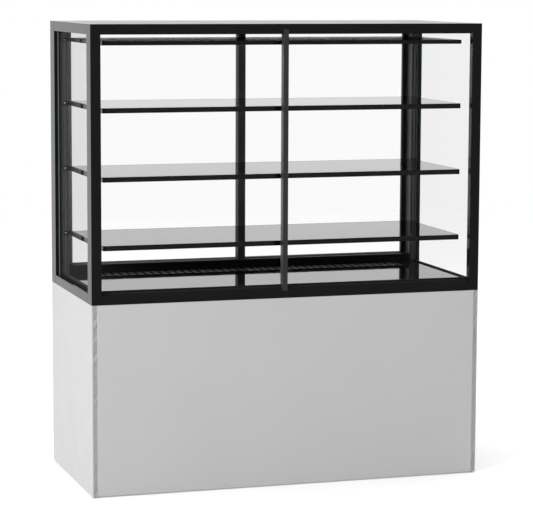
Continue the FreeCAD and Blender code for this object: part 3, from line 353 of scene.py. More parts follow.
def makePaneGlass(name, tint, mirror, bendIndex):
    # a thin pane: what is behind shows through, less at a low angle, under a coated mirror
    material = bpy.data.materials.new(name)
    material.use_nodes = True
    tree = material.node_tree
    tree.nodes.clear()
    place = addNode(tree, "ShaderNodeTexCoord").outputs["Object"]
    wipe = addNode(tree, "ShaderNodeTexNoise", {"Scale": perMetre(90), "Detail": 4.0, "Distortion": 0.8},
                   {"Vector": place})
    haze = addNode(tree, "ShaderNodeMapRange", {"From Min": 0.45, "From Max": 0.75, "To Min": 0.0,
                                                "To Max": 0.02}, {"Value": wipe.outputs["Fac"]})
    through = addNode(tree, "ShaderNodeBsdfTransparent", {"Color": toLinear(tint)})
    shine = addNode(tree, "ShaderNodeBsdfGlossy", {"Color": toLinear(mirror)},
                    {"Roughness": haze.outputs[0]})
    edge = addNode(tree, "ShaderNodeFresnel", {"IOR": bendIndex})
    inner = addNode(tree, "ShaderNodeNewGeometry").outputs["Backfacing"]
    outer = addNode(tree, "ShaderNodeMath", {"operation": "SUBTRACT", 0: 1.0}, {1: inner})
    share = addNode(tree, "ShaderNodeMath", {"operation": "MULTIPLY"},
                    {0: edge.outputs[0], 1: outer.outputs[0]})  # each pane mirrors once, at its outer face
    both = addNode(tree, "ShaderNodeMixShader",
                   links={0: share.outputs[0], 1: through.outputs[0], 2: shine.outputs[0]})
    addNode(tree, "ShaderNodeOutputMaterial", links={"Surface": both.outputs[0]})
    materials[name] = material


# Opal acrylic lens over white diodes: milky, faintly lit from behind
makeSurface("opalAcrylic", {
    "colour": "#F2F2EE", "patch": "#E6E6E0", "patchSize": 25, "rough": (0.30, 0.42), "smudgeSize": 15,
    "grain": 1.0, "grainDepth": 0.01, "ior": 1.49, "glow": "#FFF6E8", "glowStrength": 0.5})

# Light-emitting segment behind smoked acrylic: a saturated red
makeSurface("litSegment", {
    "colour": "#5A0E0A", "patch": "#6A120C", "patchSize": 2, "rough": (0.3, 0.4), "smudgeSize": 2,
    "grain": 0.5, "grainDepth": 0.002, "glow": "#FF3B2A", "glowStrength": 4.0})

# Seamless white paper: matt, with the faintest fibre and a little light coming through it
makeSurface("seamlessPaper", {
    "colour": "#FAFAFA", "patch": "#F6F6F6", "patchSize": 400, "rough": (0.85, 0.95),
    "smudgeSize": 300, "grain": 2.0, "grainDepth": 0.01, "glowStrength": 0.15})

makeGalvanised()
makePaneGlass("coatedFloatGlass", "#FFFFFF", "#46464A", 1.36)
makePaneGlass("polishedGlassEdge", "#BCD2C8", "#8C9C96", 1.52)
makePaneGlass("smokedAcrylic", "#B4B4BA", "#FFFFFF", 1.49)
print("materials made:", len(materials))


# Helpers that model and hand over a piece

weldGap = 0.02 * mm                # points closer than this become one
flatAngle = math.radians(1)        # faces that bend less than this become one
usualAngle = math.radians(30)      # edges that bend more than this are eased on a part of a piece
wholeAngle = math.radians(35)      # the same on a whole piece
smoothAngle = math.radians(40)     # edges that bend less than this are shaded smooth


def clearSelection():
    if bpy.context.object and bpy.context.object.mode != "OBJECT":
        bpy.ops.object.mode_set(mode="OBJECT")
    bpy.ops.object.select_all(action="DESELECT")


def holdOnly(piece):
    clearSelection()
    piece.select_set(True)
    bpy.context.view_layer.objects.active = piece


def settle(piece):
    # the place goes into the mesh, and the object back to the origin
    holdOnly(piece)
    bpy.ops.object.transform_apply(location=True, rotation=True, scale=True)
    return piece


def addBlock(name, low, high):
    low, high = Vector(low), Vector(high)
    clearSelection()
    bpy.ops.mesh.primitive_cube_add(size=1, location=(low + high) / 2, scale=high - low)
    piece = bpy.context.object
    piece.name = name
    return settle(piece)


axisTurn = {"x": (0, math.pi / 2, 0), "y": (-math.pi / 2, 0, 0), "z": (0, 0, 0)}
axisWay = {"x": Vector((1, 0, 0)), "y": Vector((0, 1, 0)), "z": Vector((0, 0, 1))}


def addDrum(name, axis, start, radius, length, sides=32):
    # a cylinder that grows from start along the axis
    clearSelection()
    bpy.ops.mesh.primitive_cylinder_add(
        vertices=sides, radius=radius, depth=length,
        location=Vector(start) + axisWay[axis] * length / 2, rotation=axisTurn[axis])
    piece = bpy.context.object
    piece.name = name
    return settle(piece)


def select(piece, kind, test):
    # edit mode with only the faces or edges picked whose middle and direction pass the test
    if bpy.context.object is not piece or piece.mode != "EDIT":
        holdOnly(piece)
        bpy.ops.object.mode_set(mode="EDIT")
    bpy.ops.mesh.select_mode(type=kind)
    bpy.ops.mesh.select_all(action="DESELECT")
    mesh = bmesh.from_edit_mesh(piece.data)
    mesh.normal_update()
    if kind == "FACE":
        for face in mesh.faces:
            face.select_set(test(face.calc_center_median(), face.normal))
    else:
        for edge in mesh.edges:
            ends = [v.co for v in edge.verts]
            edge.select_set(test((ends[0] + ends[1]) / 2, (ends[1] - ends[0]).normalized()))
    mesh.select_flush_mode()
    bmesh.update_edit_mesh(piece.data)


def leave():
    bpy.ops.object.mode_set(mode="OBJECT")


def facing(axis, sign=1):
    # test for the faces that look that way
    index = "xyz".index(axis)
    return lambda at, way: way[index] * sign > 0.9


def running(axis):
    # test for the edges that run along the axis
    index = "xyz".index(axis)
    return lambda at, way: abs(way[index]) > 0.9


def roundEdges(piece, test, width, segments):
    select(piece, "EDGE", test)
    bpy.ops.mesh.bevel(offset=width, segments=segments, affect="EDGES")
    leave()


def insetFace(piece, axis, sign, steps):
    # the face that looks that way is drawn in by each step's margin, and raised by its depth
    select(piece, "FACE", facing(axis, sign))
    for margin, depth in steps:
        bpy.ops.mesh.inset(thickness=margin, depth=depth)
    leave()


def grow(piece, axis, steps, centre=(0, 0, 0), sign=1):
    # from the end face that looks that way: each step moves a new ring and scales it about the centre line
    select(piece, "FACE", facing(axis, sign))
    factors = {"x": (0, 1, 1), "y": (1, 0, 1), "z": (1, 1, 0)}[axis]
    for rise, scale in steps:
        bpy.ops.mesh.extrude_region_move(TRANSFORM_OT_translate={"value": axisWay[axis] * rise})
        bpy.ops.transform.resize(value=[scale if across else 1 for across in factors],
                                 center_override=centre)
    leave()


def useModifier(piece, kind, settings):
    holdOnly(piece)
    modifier = piece.modifiers.new(kind.lower(), kind)
    for name, value in settings.items():
        setattr(modifier, name, value)
    bpy.ops.object.modifier_apply(modifier=modifier.name)


def ease(piece, width, segments=2, angle=usualAngle):
    useModifier(piece, "BEVEL", {"width": width, "segments": segments, "limit_method": "ANGLE",
                                 "angle_limit": angle})


def cutAway(tool, pieces):
    # the tool's shape is taken out of each piece, and the tool goes
    for piece in pieces:
        useModifier(piece, "BOOLEAN", {"object": tool, "operation": "DIFFERENCE", "solver": "EXACT"})
    bpy.data.objects.remove(tool)


def spin(share, axis):
    # a turn about an axis through the origin, as a share of the whole round
    return Matrix.Rotation(math.tau * share, 4, axis)


def finishPiece(piece, material, node=None, body=None, edge=0.0, segments=2):
    # edges eased, shading smoothed, then finish and body given; without a node it adds to the cabinet
    if edge:
        ease(piece, edge, segments, wholeAngle)
    holdOnly(piece)
    bpy.ops.object.shade_smooth_by_angle(angle=smoothAngle)
    if edge:
        # flat faces stay flat beside an eased edge
        useModifier(piece, "WEIGHTED_NORMAL", {"keep_sharp": True})
    if material:
        piece.data.materials.clear()
        piece.data.materials.append(materials[material])
    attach(piece, body or bodyOf.get(node, "cabinet"))
    if node:
        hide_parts(node)
    return piece


def copyNode(node, name):
    # the node's shape as one merged mesh with flat faces made whole
    clearSelection()
    source = frame["nodes"][node]
    piece = bpy.data.objects.new(name, source.data.copy())
    bpy.context.scene.collection.objects.link(piece)
    piece.data.materials.clear()
    holdOnly(piece)
    bpy.ops.object.mode_set(mode="EDIT")
    bpy.ops.mesh.select_all(action="SELECT")
    bpy.ops.mesh.remove_doubles(threshold=weldGap)
    bpy.ops.mesh.dissolve_limited(angle_limit=flatAngle)
    bpy.ops.mesh.select_all(action="SELECT")
    bpy.ops.mesh.normals_make_consistent(inside=False)
    leave()
    return piece


def joinPieces(name, parts):
    # several meshes made one, their materials kept
    clearSelection()
    for part in parts:
        part.select_set(True)
    bpy.context.view_layer.objects.active = parts[0]
    if len(parts) > 1:
        bpy.ops.object.join()
    parts[0].name = name
    return parts[0]


def copyPiece(piece, name, shift=(0, 0, 0), turn=None):
    # a copy with its own mesh, turned about the origin and then shifted
    twin = bpy.data.objects.new(name, piece.data.copy())
    bpy.context.scene.collection.objects.link(twin)
    twin.data.transform(Matrix.Translation(Vector(shift)) @ (turn or Matrix.Identity(4)))
    return twin


def looseBoxes(node):
    # lowest and highest corner of each separate solid in a node
    piece = copyNode(node, node + "_probe")
    bpy.ops.mesh.separate(type="LOOSE")
    boxes = []
    for part in list(bpy.context.selected_objects):
        corners = [v.co for v in part.data.vertices]
        low = Vector(min(c[i] for c in corners) for i in range(3))
        high = Vector(max(c[i] for c in corners) for i in range(3))
        boxes.append((low, high))
        bpy.data.objects.remove(part)
    return sorted(boxes, key=lambda pair: (pair[0].z, pair[0].x, pair[0].y))


# Black frame

frameBars = {
    "edge": 0.9 * mm,      # eased arris of the extrusions
    "thin": 0.5 * mm,      # eased arris of the thinner sections
    "rim": 1.2 * mm,       # eased rim of the top sheet
}


def dressBars():
    # posts, rails, sill and uprights keep their section; their arrises are eased
    for node in ("front_post_left", "front_post_right", "rear_post_left", "rear_post_right",
                 "front_top_rail", "front_bottom_rail", "side_rails", "rear_top_rail"):
        finishPiece(copyNode(node, node + "_bar"), "glossPowderCoat", node, edge=frameBars["edge"])
    # the uprights' finish holds painted light: a grey lifted above black for the shade they stand in
    for node, finish in (("upright_left", "uprightAnodisedPaintedLight"), ("upright_right", "uprightAnodisedPaintedLight"),
                         ("front_mullion", "blackAnodised"), ("door_frame_left", "satinPowderCoat"),
                         ("door_frame_right", "satinPowderCoat"), ("rear_sill", "mattAnodised")):
        finishPiece(copyNode(node, node + "_section"), finish, node, edge=frameBars["thin"])


def dressTop():
    # top sheet, its rim turned down a little
    finishPiece(copyNode("top_panel", "top_sheet"), "enamelledTop", "top_panel", edge=frameBars["rim"],
                segments=3)


dressBars()
dressTop()
print("frame dressed")


# Glass and seals

panes = {"arris": 0.8 * mm}


def glazePane(node, flatAxis):
    # a pane with polished edges; its two broad faces are clear, its edges greenish
    piece = copyNode(node, node + "_pane")
    ease(piece, panes["arris"], 1)
    for finish in ("coatedFloatGlass", "polishedGlassEdge"):
        piece.data.materials.append(materials[finish])
    for face in piece.data.polygons:
        face.material_index = 0 if abs(face.normal[flatAxis]) > 0.9 else 1
    return finishPiece(piece, None, node)


for paneName, paneAxis in (("front_glass_left", 1), ("front_glass_right", 1), ("side_glass_left", 0),
                           ("side_glass_right", 0), ("door_glass_left", 1), ("door_glass_right", 1)):
    glazePane(paneName, paneAxis)

seal = {
    "wide": 6 * mm,
    "lip": 1.2 * mm,
    "tape": 8 * mm,        # foam tape under the deck's edge, against the side pane
}


def makeSeals():
    # extruded rubber beads along the feet of the panes, each with a rounded back, and the deck's foam tapes
    low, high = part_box("glass_seals")
    deckLow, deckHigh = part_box("deck_panel")
    paneLow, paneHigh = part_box("front_glass_left")
    mullionLow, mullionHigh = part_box("front_mullion")
    railLow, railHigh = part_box("front_bottom_rail")
    wide = seal["wide"]
    runs = [
        (0, (railLow.x, low.y, low.z), (mullionLow.x, paneLow.y, deckHigh.z)),
        (0, (mullionHigh.x, low.y, low.z), (railHigh.x, paneLow.y, deckHigh.z)),
        (0, (deckLow.x + wide, paneHigh.y, deckHigh.z), (deckHigh.x - wide, paneHigh.y + wide, high.z)),
        (1, (deckLow.x, paneHigh.y, deckHigh.z), (deckLow.x + wide, high.y, high.z)),
        (1, (deckHigh.x - wide, paneHigh.y, deckHigh.z), (deckHigh.x, high.y, high.z)),
    ]
    beads = []
    for along, start, end in runs:
        beads.append(addBlock("bead", start, end))
        middle = (start[2] + end[2]) / 2
        roundEdges(beads[-1], lambda at, way: abs(way[along]) > 0.9 and at.z > middle, seal["lip"], 4)
    finishPiece(joinPieces("rubber_seals", beads), "epdmRubber", "glass_seals")
    tapes = []
    for start, end in ((deckLow.x, deckLow.x + seal["tape"]), (deckHigh.x - seal["tape"], deckHigh.x)):
        tape = addBlock("tape", (start, paneHigh.y, deckLow.z - seal["tape"]), (end, high.y, deckLow.z))
        underside = deckLow.z - seal["tape"] / 2
        roundEdges(tape, lambda at, way: abs(way.y) > 0.9 and at.z < underside, seal["lip"], 3)
        tapes.append(tape)
    finishPiece(joinPieces("deck_edge_tape", tapes), "epdmRubber")


makeSeals()
print("glazed")


# Shelves, deck and lights

shelf = {
    "corner": 7 * mm,       # plan radius
    "arris": 0.4 * mm,
    "rim": 5 * mm,          # polished margin round the top face
    "seat": 0.25 * mm,      # the field sits this much lower
}


def makeShelf(node):
    # a lacquered glass slab: rounded corners, a polished margin, a groove under the front edge
    low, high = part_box(node)
    piece = addBlock(node + "_slab", low, high)
    roundEdges(piece, running("z"), shelf["corner"], 6)
    insetFace(piece, "z", 1, ((shelf["rim"], 0), (shelf["seat"] * 2, -shelf["seat"])))
    lightLow, lightHigh = lightBoxes[node]
    for axis, point in (("x", lightLow), ("x", lightHigh), ("y", lightLow), ("y", lightHigh)):
        select(piece, "FACE", facing("z", -1))
        bpy.ops.mesh.bisect(plane_co=point, plane_no=axisWay[axis])
    select(piece, "FACE", lambda at, way: way.z < -0.9 and lightLow.x < at.x < lightHigh.x
           and lightLow.y < at.y < lightHigh.y)
    bpy.ops.mesh.extrude_region_move(TRANSFORM_OT_translate={"value": (0, 0, lightHigh.z - low.z)})
    leave()
    finish = "etchedGlassCanopy" if node == "canopy_shelf" else "blackGlassShelf"
    finishPiece(piece, finish, node, edge=shelf["arris"], segments=3)


strip = {
    "lens": 2.2 * mm,       # radius of the opal lens' lower edges
    "cap": 8 * mm,          # length of a moulded end cap
    "capRim": 1.5 * mm,
    "capSunk": 0.4 * mm,
}


def makeLights():
    # each strip is a domed opal lens between two end caps
    lenses = []
    caps = []
    for low, high in lightBoxes.values():
        lens = addBlock("lens", (low.x + strip["cap"], low.y, low.z),
                        (high.x - strip["cap"], high.y, high.z))
        middle = (low.z + high.z) / 2
        roundEdges(lens, lambda at, way: abs(way.x) > 0.9 and at.z < middle, strip["lens"], 5)
        lenses.append(lens)
        for start in (low.x, high.x - strip["cap"]):
            cap = addBlock("cap", (start, low.y, low.z), (start + strip["cap"], high.y, high.z))
            insetFace(cap, "z", -1, ((strip["capRim"], -strip["capSunk"]),))
            caps.append(cap)
    finishPiece(joinPieces("light_lenses", lenses), "opalAcrylic", "light_strips")
    finishPiece(joinPieces("light_caps", caps), "mouldedNylon", edge=0.4 * mm)


slabs = ("shelf_lower", "shelf_middle", "shelf_upper", "canopy_shelf")
lightBoxes = dict(zip(slabs, looseBoxes("light_strips")))
for slabName in slabs:
    makeShelf(slabName)
makeLights()


def dressDeck():
    finishPiece(copyNode("deck_panel", "deck_board"), "pearlLaminate", "deck_panel", edge=0.6 * mm)
    finishPiece(copyNode("air_grilles", "slotted_grilles"), "satinBlackSteel", "air_grilles", edge=0.4 * mm,
                segments=1)
    finishPiece(copyNode("shelf_arms", "shelf_brackets"), "satinBlackSteel", "shelf_arms", edge=0.7 * mm)


dressDeck()
print("shelves, deck and lights made")


# Door pulls

for pullName, pullFinish in (("door_pull_left", "clearAnodised"), ("door_pull_right", "blackAnodised")):
    finishPiece(copyNode(pullName, pullName + "_strip"), pullFinish, pullName, edge=0.6 * mm, segments=3)


# Plinth

plinth = {
    "fold": 1.6 * mm,       # outside radius of a folded edge
    "flange": 14 * mm,      # returned flange behind a panel
}


def makePanel(node, axis, inward):
    # a sheet with all four edges folded back into flanges
    low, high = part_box(node)
    piece = addBlock(node + "_sheet", low, high)
    index = "xyz".index(axis)
    thick = high[index] - low[index]
    insetFace(piece, axis, inward, ((thick, 0),))
    centre = (low + high) / 2
    reach = (high - low) / 2 - Vector((thick, thick, thick)) * 1.01
    others = [i for i in range(3) if i != index]
    select(piece, "FACE", lambda at, way: way[index] * inward > 0.9
           and any(abs(at[i] - centre[i]) > reach[i] for i in others))
    bpy.ops.mesh.extrude_region_move(
        TRANSFORM_OT_translate={"value": axisWay[axis] * inward * plinth["flange"]})
    leave()
    finishPiece(piece, "greyPowderCoat", node, edge=plinth["fold"] / 2, segments=3)


makePanel("plinth_front_panel", "y", 1)
makePanel("plinth_side_panel_left", "x", 1)
makePanel("plinth_side_panel_right", "x", -1)
finishPiece(copyNode("base_frame", "base_tubes"), "greyPowderCoat", "base_frame", edge=0.9 * mm)

louvre = {
    "proud": 5 * mm,        # how far a pressed hood stands off the panel
    "bite": 0.5 * mm,       # how far it starts inside the panel
    "hood": 6 * mm,         # width of a hood at its foot
    "lip": 2.2 * mm,        # width of a hood's crest
    "slope": 1 * mm,        # how far the crest's middle lies from the slot's side
    "half": (0.75, 1, 0.985),   # scale at half the hood's height
    "crestHigh": 0.96,
    "pitch": 17 * mm,
    "first": 48 * mm,
    "slot": 8 * mm,
    "count": 20,
    "foot": 78 * mm,
    "head": 302 * mm,
}


def makeServicePanel():
    # the rear panel keeps its slots; beside each one stands a pressed hood
    panel = copyNode("rear_service_panel", "service_panel_sheet")
    finishPiece(panel, "greyPowderCoat", "rear_service_panel", edge=0.5 * mm, segments=1)
    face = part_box("rear_service_panel")[1].y
    start = louvre["first"] + louvre["slot"]
    hood = addBlock("hood", (start, face - louvre["bite"], louvre["foot"]),
                    (start + louvre["hood"], face, louvre["head"]))
    middle = Vector((start + louvre["slope"], face, (louvre["foot"] + louvre["head"]) / 2))
    select(hood, "FACE", facing("y"))
    for scale in (louvre["half"], (louvre["lip"] / louvre["hood"], 1, louvre["crestHigh"])):
        bpy.ops.mesh.extrude_region_move(TRANSFORM_OT_translate={"value": (0, louvre["proud"] / 2, 0)})
        bpy.ops.transform.resize(value=scale, center_override=middle)
    leave()
    hoods = [hood] + [copyPiece(hood, "hood_%d" % i, (louvre["pitch"] * i, 0, 0))
                      for i in range(1, louvre["count"])]
    finishPiece(joinPieces("service_louvres", hoods), "greyPowderCoat", edge=0.5 * mm)


makeServicePanel()
finishPiece(copyNode("rear_control_panel", "control_panel_sheet"), "greyPowderCoat", "rear_control_panel",
            edge=0.5 * mm, segments=1)

foot = {
    "sides": 36,
    "pad": 22 * mm,
    "padFoot": (0.92, 1.5 * mm),    # share of the pad's radius, and height, of its lowest step
    "padSteps": ((1.2 * mm, 1.087), (2.3 * mm, 1.0), (1.0 * mm, 0.93), (0, 0.62), (2.4 * mm, 0.75)),
    "ribs": 12,
    "ribFrom": (9 * mm, -0.9 * mm, 5 * mm),
    "ribTo": (19 * mm, 0.9 * mm, 7.2 * mm),
    "nut": 10 * mm,
    "nutFrom": 8.2 * mm,
    "nutHigh": 4 * mm,
    "stud": 6 * mm,
    "studFrom": 8 * mm,
    "core": 0.86,           # thread's core, as a share of the stud's radius
    "turns": 8,
    "thread": ((0.7 * mm, 1.16), (0.7 * mm, 1 / 1.16)),     # one turn: out to the crest and back
}


def makeFeet():
    # levelling foot: ribbed pad, hexagon nut and threaded stud, made once and set at each corner
    share, high = foot["padFoot"]
    padPart = addDrum("pad", "z", (0, 0, 0), foot["pad"] * share, high, foot["sides"])
    grow(padPart, "z", foot["padSteps"])
    rib = addBlock("rib", foot["ribFrom"], foot["ribTo"])
    ribParts = [copyPiece(rib, "rib_%d" % i, turn=spin(i / foot["ribs"], "Z")) for i in range(foot["ribs"])]
    bpy.data.objects.remove(rib)
    pad = joinPieces("pad", [padPart] + ribParts)
    ease(pad, 0.4 * mm)
    nut = addDrum("nut", "z", (0, 0, foot["nutFrom"]), foot["nut"], foot["nutHigh"], 6)
    ease(nut, 0.6 * mm)
    stud = addDrum("stud", "z", (0, 0, foot["studFrom"]), foot["stud"] * foot["core"], 0.5 * mm, 20)
    grow(stud, "z", foot["thread"] * foot["turns"])
    spots = [Vector(((low.x + high.x) / 2, (low.y + high.y) / 2, 0))
             for low, high in looseBoxes("levelling_feet")]
    for label, part, finish, slot in (
            ("foot_pads", pad, "mouldedNylon", "foot_plastic"),
            ("foot_studs", joinPieces("nutAndStud", [nut, stud]), "zincPlatedScrew", "screw_steel")):
        copies = [copyPiece(part, "%s_%d" % (label, i), spot) for i, spot in enumerate(spots)]
        bpy.data.objects.remove(part)
        finishPiece(joinPieces(label, copies), finish, "levelling_feet")


makeFeet()
print("plinth made")


# Screws and gland

screw = {
    "radius": 4 * mm,
    "height": 2 * mm,
    "edge": 0.9 * mm,       # height of the head's straight edge
    "dome": ((0.5 * mm, 0.94), (0.35 * mm, 0.84), (0.25 * mm, 0.66)),
    "arm": 2.3 * mm,        # half the length of the cross recess
    "blade": 0.45 * mm,     # half the width of the cross recess
    "deep": 1.1 * mm,
    "clear": 1 * mm,        # how far the recess's cutter stands over the head
    "turn": 0.4,            # radians from one screw's cross to the next
}


def makeScrews():
    # pan head with a cross recess, modelled once facing +Y
    head = addDrum("screwHead", "y", (0, 0, 0), screw["radius"], screw["edge"], 20)
    grow(head, "y", screw["dome"])
    for halfX, halfZ in ((screw["arm"], screw["blade"]), (screw["blade"], screw["arm"])):
        cutAway(addBlock("blade", (-halfX, screw["height"] - screw["deep"], -halfZ),
                         (halfX, screw["height"] + screw["clear"], halfZ)), [head])
    heads = {"panel": [], "arm": []}
    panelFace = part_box("rear_control_panel")[1].y
    for index, (low, high) in enumerate(looseBoxes("screws")):
        middle = (low + high) / 2
        turn = Matrix.Rotation(screw["turn"] * index, 4, "Y")
        if low.y > panelFace - 1 * mm:
            heads["panel"].append(copyPiece(head, "panelScrew", (middle.x, low.y, middle.z), turn))
        else:
            heads["arm"].append(copyPiece(head, "armScrew", (middle.x, high.y, middle.z),
                                          spin(0.5, "Z") @ turn))
    bpy.data.objects.remove(head)
    for place, parts in heads.items():
        finishPiece(joinPieces(place + "_screws", parts), "zincPlatedScrew", "screws")


gland = {
    "body": 9.5 * mm,
    "bodyLong": 5.8 * mm,
    "mouth": 5 * mm,
    "collar": 15 * mm,
    "collarFrom": 6 * mm,
    "collarLong": 2.2 * mm,
    "dome": ((0, 0.78), (1.2 * mm, 0.94), (0.6 * mm, 0.86)),
}


def makeGland():
    # cable gland: body on the panel, six-sided dome nut over it and its open mouth
    low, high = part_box("cable_gland")
    middle = (low + high) / 2
    spot = Vector((middle.x, low.y, middle.z))
    nut = addDrum("gland", "y", spot, gland["body"], gland["bodyLong"], 24)
    collar = addDrum("collar", "y", spot + axisWay["y"] * gland["collarFrom"], gland["collar"],
                     gland["collarLong"], 6)
    grow(collar, "y", gland["dome"], spot)
    cutAway(addDrum("bore", "y", spot - axisWay["y"] * 5 * mm, gland["mouth"], 30 * mm, 24), [nut, collar])
    finishPiece(joinPieces("gland_body", [collar, nut]), "mouldedNylon", "cable_gland", edge=0.35 * mm)


makeScrews()
makeGland()
print("screws and gland made")

# Cooling set and controls

motor = {
    "sides": 48,
    "can": 44 * mm,         # length of the evaporator motor's can
    "drum": (5 * mm, 12 * mm),      # where the drawn drum starts, and what it is shorter than the can
    "neck": 0.94,           # drum's radius as a share of the can's
    "rearCap": ((0, 1.06), (2.5 * mm, 1.0), (0, 0.9), (2 * mm, 0.92), (0, 0.4), (2.5 * mm, 0.9)),
    "frontCap": ((-2 * mm, 0.94), (-1.5 * mm, 0.85), (0, 0.42), (-1.5 * mm, 0.92)),
    "studs": 4,
    "studCircle": 0.62,     # as a share of the can's radius
    "stud": 2.4 * mm,
    "studLong": 3 * mm,
    "studIn": 0.6 * mm,
    "studTip": ((0, 0.6), (-0.5 * mm, 0.9)),
    "strapFront": 32 * mm,  # strap behind the can's front
    "strapSheet": 4 * mm,
    "strapHalf": 6 * mm,
    "strapGap": 28 * mm,    # from the axis to the strap's inner end
}


def makeCan(name, front, radius, length):
    # motor can: drawn shell with a rolled seam, end cap, bearing boss and fixing studs
    start, less = motor["drum"]
    can = addDrum(name, "y", front + axisWay["y"] * start, radius * motor["neck"], length - less,
                  motor["sides"])
    grow(can, "y", motor["rearCap"], front)
    grow(can, "y", motor["frontCap"], front, sign=-1)
    parts = [can]
    for index in range(motor["studs"]):
        angle = math.tau * (index + 0.5) / motor["studs"]
        spot = front + Vector((math.cos(angle), 0, math.sin(angle))) * radius * motor["studCircle"]
        stud = addDrum("stud", "y", spot + axisWay["y"] * motor["studIn"], motor["stud"],
                       motor["studLong"], 6)
        grow(stud, "y", motor["studTip"], spot, sign=-1)
        parts.append(stud)
    return parts


def makeEvaporatorMotor():
    # the can on a strap that bridges the fan's opening
    low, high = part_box("evaporator_fan_motor")
    middle = (low + high) / 2
    parts = makeCan("evaporator_motor", Vector((middle.x, low.y, middle.z)), (high.z - low.z) / 2,
                    motor["can"])
    strapY = low.y + motor["strapFront"]
    z = (middle.z - motor["strapHalf"], middle.z + motor["strapHalf"])
    for start, end in ((low.x, middle.x - motor["strapGap"]), (middle.x + motor["strapGap"], high.x)):
        parts.append(addBlock("strap", (start, strapY, z[0]), (end, strapY + motor["strapSheet"], z[1])))
    for start in (low.x, high.x - motor["strapSheet"]):
        parts.append(addBlock("leg", (start, strapY, z[0]), (start + motor["strapSheet"], high.y, z[1])))
    finishPiece(joinPieces("evaporator_motor", parts), "blackEnamel", "evaporator_fan_motor", edge=0.5 * mm)


shroud = {
    "bore": 112 * mm,
    "sides": 64,
    "ring": 117 * mm,       # outside radius of the inlet ring
    "ringLong": 9 * mm,
    "ringIn": 2 * mm,       # how far the ring goes into the plate
    "plate": 26 * mm,       # depth of the plate with its turned edges
    "corner": 8 * mm,
    "motorRadius": 34 * mm,
    "motorLong": 50 * mm,
    "stayFront": 22 * mm,
    "staySheet": 6 * mm,
    "stayHalf": 8 * mm,
    "stayFrom": 32 * mm,    # from the axis to the stay's inner end
    "stayReach": 140 * mm,
    "axis": 190 * mm,       # fan's axis over the floor
}


def makeShroud():
    # pressed shroud with an inlet ring; the motor hangs in front of it on a stay
    low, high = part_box("condenser_shroud")
    middleX = (low.x + high.x) / 2
    axis = Vector((middleX, 0, shroud["axis"]))
    plateY = high.y - shroud["plate"]
    plate = addBlock("plate", (low.x, plateY, low.z), (high.x, high.y, high.z))
    roundEdges(plate, running("y"), shroud["corner"], 4)
    ring = addDrum("ring", "y", axis + axisWay["y"] * (plateY - shroud["ringLong"]), shroud["ring"],
                   shroud["ringLong"] + shroud["ringIn"], shroud["sides"])
    front = axis + axisWay["y"] * low.y
    cutAway(addDrum("bore", "y", front, shroud["bore"], 300 * mm, shroud["sides"]), [plate, ring])
    parts = [plate, ring] + makeCan("can", front, shroud["motorRadius"], shroud["motorLong"])
    stayY = low.y + shroud["stayFront"]
    z = (shroud["axis"] - shroud["stayHalf"], shroud["axis"] + shroud["stayHalf"])
    for way in (-1, 1):
        tip = middleX + way * shroud["stayReach"]
        ends = sorted((middleX + way * shroud["stayFrom"], tip))
        parts.append(addBlock("stay", (ends[0], stayY, z[0]), (ends[1], stayY + shroud["staySheet"], z[1])))
        ends = sorted((tip - way * shroud["staySheet"], tip))
        parts.append(addBlock("leg", (ends[0], stayY, z[0]), (ends[1], plateY, z[1])))
    finishPiece(joinPieces("shroud_and_motor", parts), "blackEnamel", "condenser_shroud", edge=0.6 * mm)


# hub and reach of each rotor, its blade's width at the root, and how much it widens to the tip
fans = {
    "evaporator_fan": {"hub": 18 * mm, "reach": 62 * mm, "root": 19 * mm, "widen": 1.35},
    "condenser_fan": {"hub": 26 * mm, "reach": 105 * mm, "root": 40 * mm, "widen": 1.30},
}
blade = {
    "count": 5,
    "steps": 9,
    "pitch": math.radians(38),
    "twist": math.radians(24),      # more pitch at the root than at the tip
    "thick": 2.2 * mm,
    "foot": 0.85,                   # where a blade starts, as a share of the hub's radius
}
hubShape = {
    "sides": 40,
    "deep": 0.9,                    # rotor's depth as a share of its space
    "drum": (0.97, 0.8),            # shares of the hub's radius and of the rotor's depth
    # rises as shares of the rotor's depth, with the scale of each ring
    "cap": ((0.1, 0.97), (0.06, 0.9), (0, 0.5), (-0.08, 0.94), (0, 0.5), (0.12, 0.9)),
}


def makeFan(node, fan):
    # moulded rotor: a capped hub and blades that twist and widen outwards
    low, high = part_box(node)
    span = (high.y - low.y) * hubShape["deep"]
    neck, drum = hubShape["drum"]
    hub = addDrum(node + "_hub", "y", (0, -span / 2, 0), fan["hub"] * neck, span * drum, hubShape["sides"])
    grow(hub, "y", [(rise * span, scale) for rise, scale in hubShape["cap"]])
    vane = addBlock("vane", (fan["hub"] * blade["foot"], -fan["root"] / 2, -blade["thick"] / 2),
                    (fan["hub"], fan["root"] / 2, blade["thick"] / 2))
    select(vane, "FACE", lambda at, way: True)
    bpy.ops.transform.rotate(value=blade["pitch"], orient_axis="X", center_override=(0, 0, 0))
    select(vane, "FACE", facing("x"))
    stride = (fan["reach"] - fan["hub"]) / blade["steps"]
    spread = fan["widen"] ** (1 / blade["steps"])
    for step in range(blade["steps"]):
        bpy.ops.mesh.extrude_region_move(TRANSFORM_OT_translate={"value": (stride, 0, 0)})
        bpy.ops.transform.resize(value=(1, spread, spread), center_override=(0, 0, 0))
        bpy.ops.transform.rotate(value=blade["twist"] / blade["steps"], orient_axis="X",
                                 center_override=(0, 0, 0))
    leave()
    ease(vane, blade["thick"] * 0.3)
    vanes = [copyPiece(vane, "vane", turn=spin(index / blade["count"], "Y"))
             for index in range(blade["count"])]
    bpy.data.objects.remove(vane)
    rotor = joinPieces(node + "_rotor", [hub] + vanes)
    rotor.data.transform(Matrix.Translation((high.x - fan["reach"], (low.y + high.y) / 2,
                                             (low.z + high.z) / 2)))
    finishPiece(rotor, "mouldedPolypropylene", node)


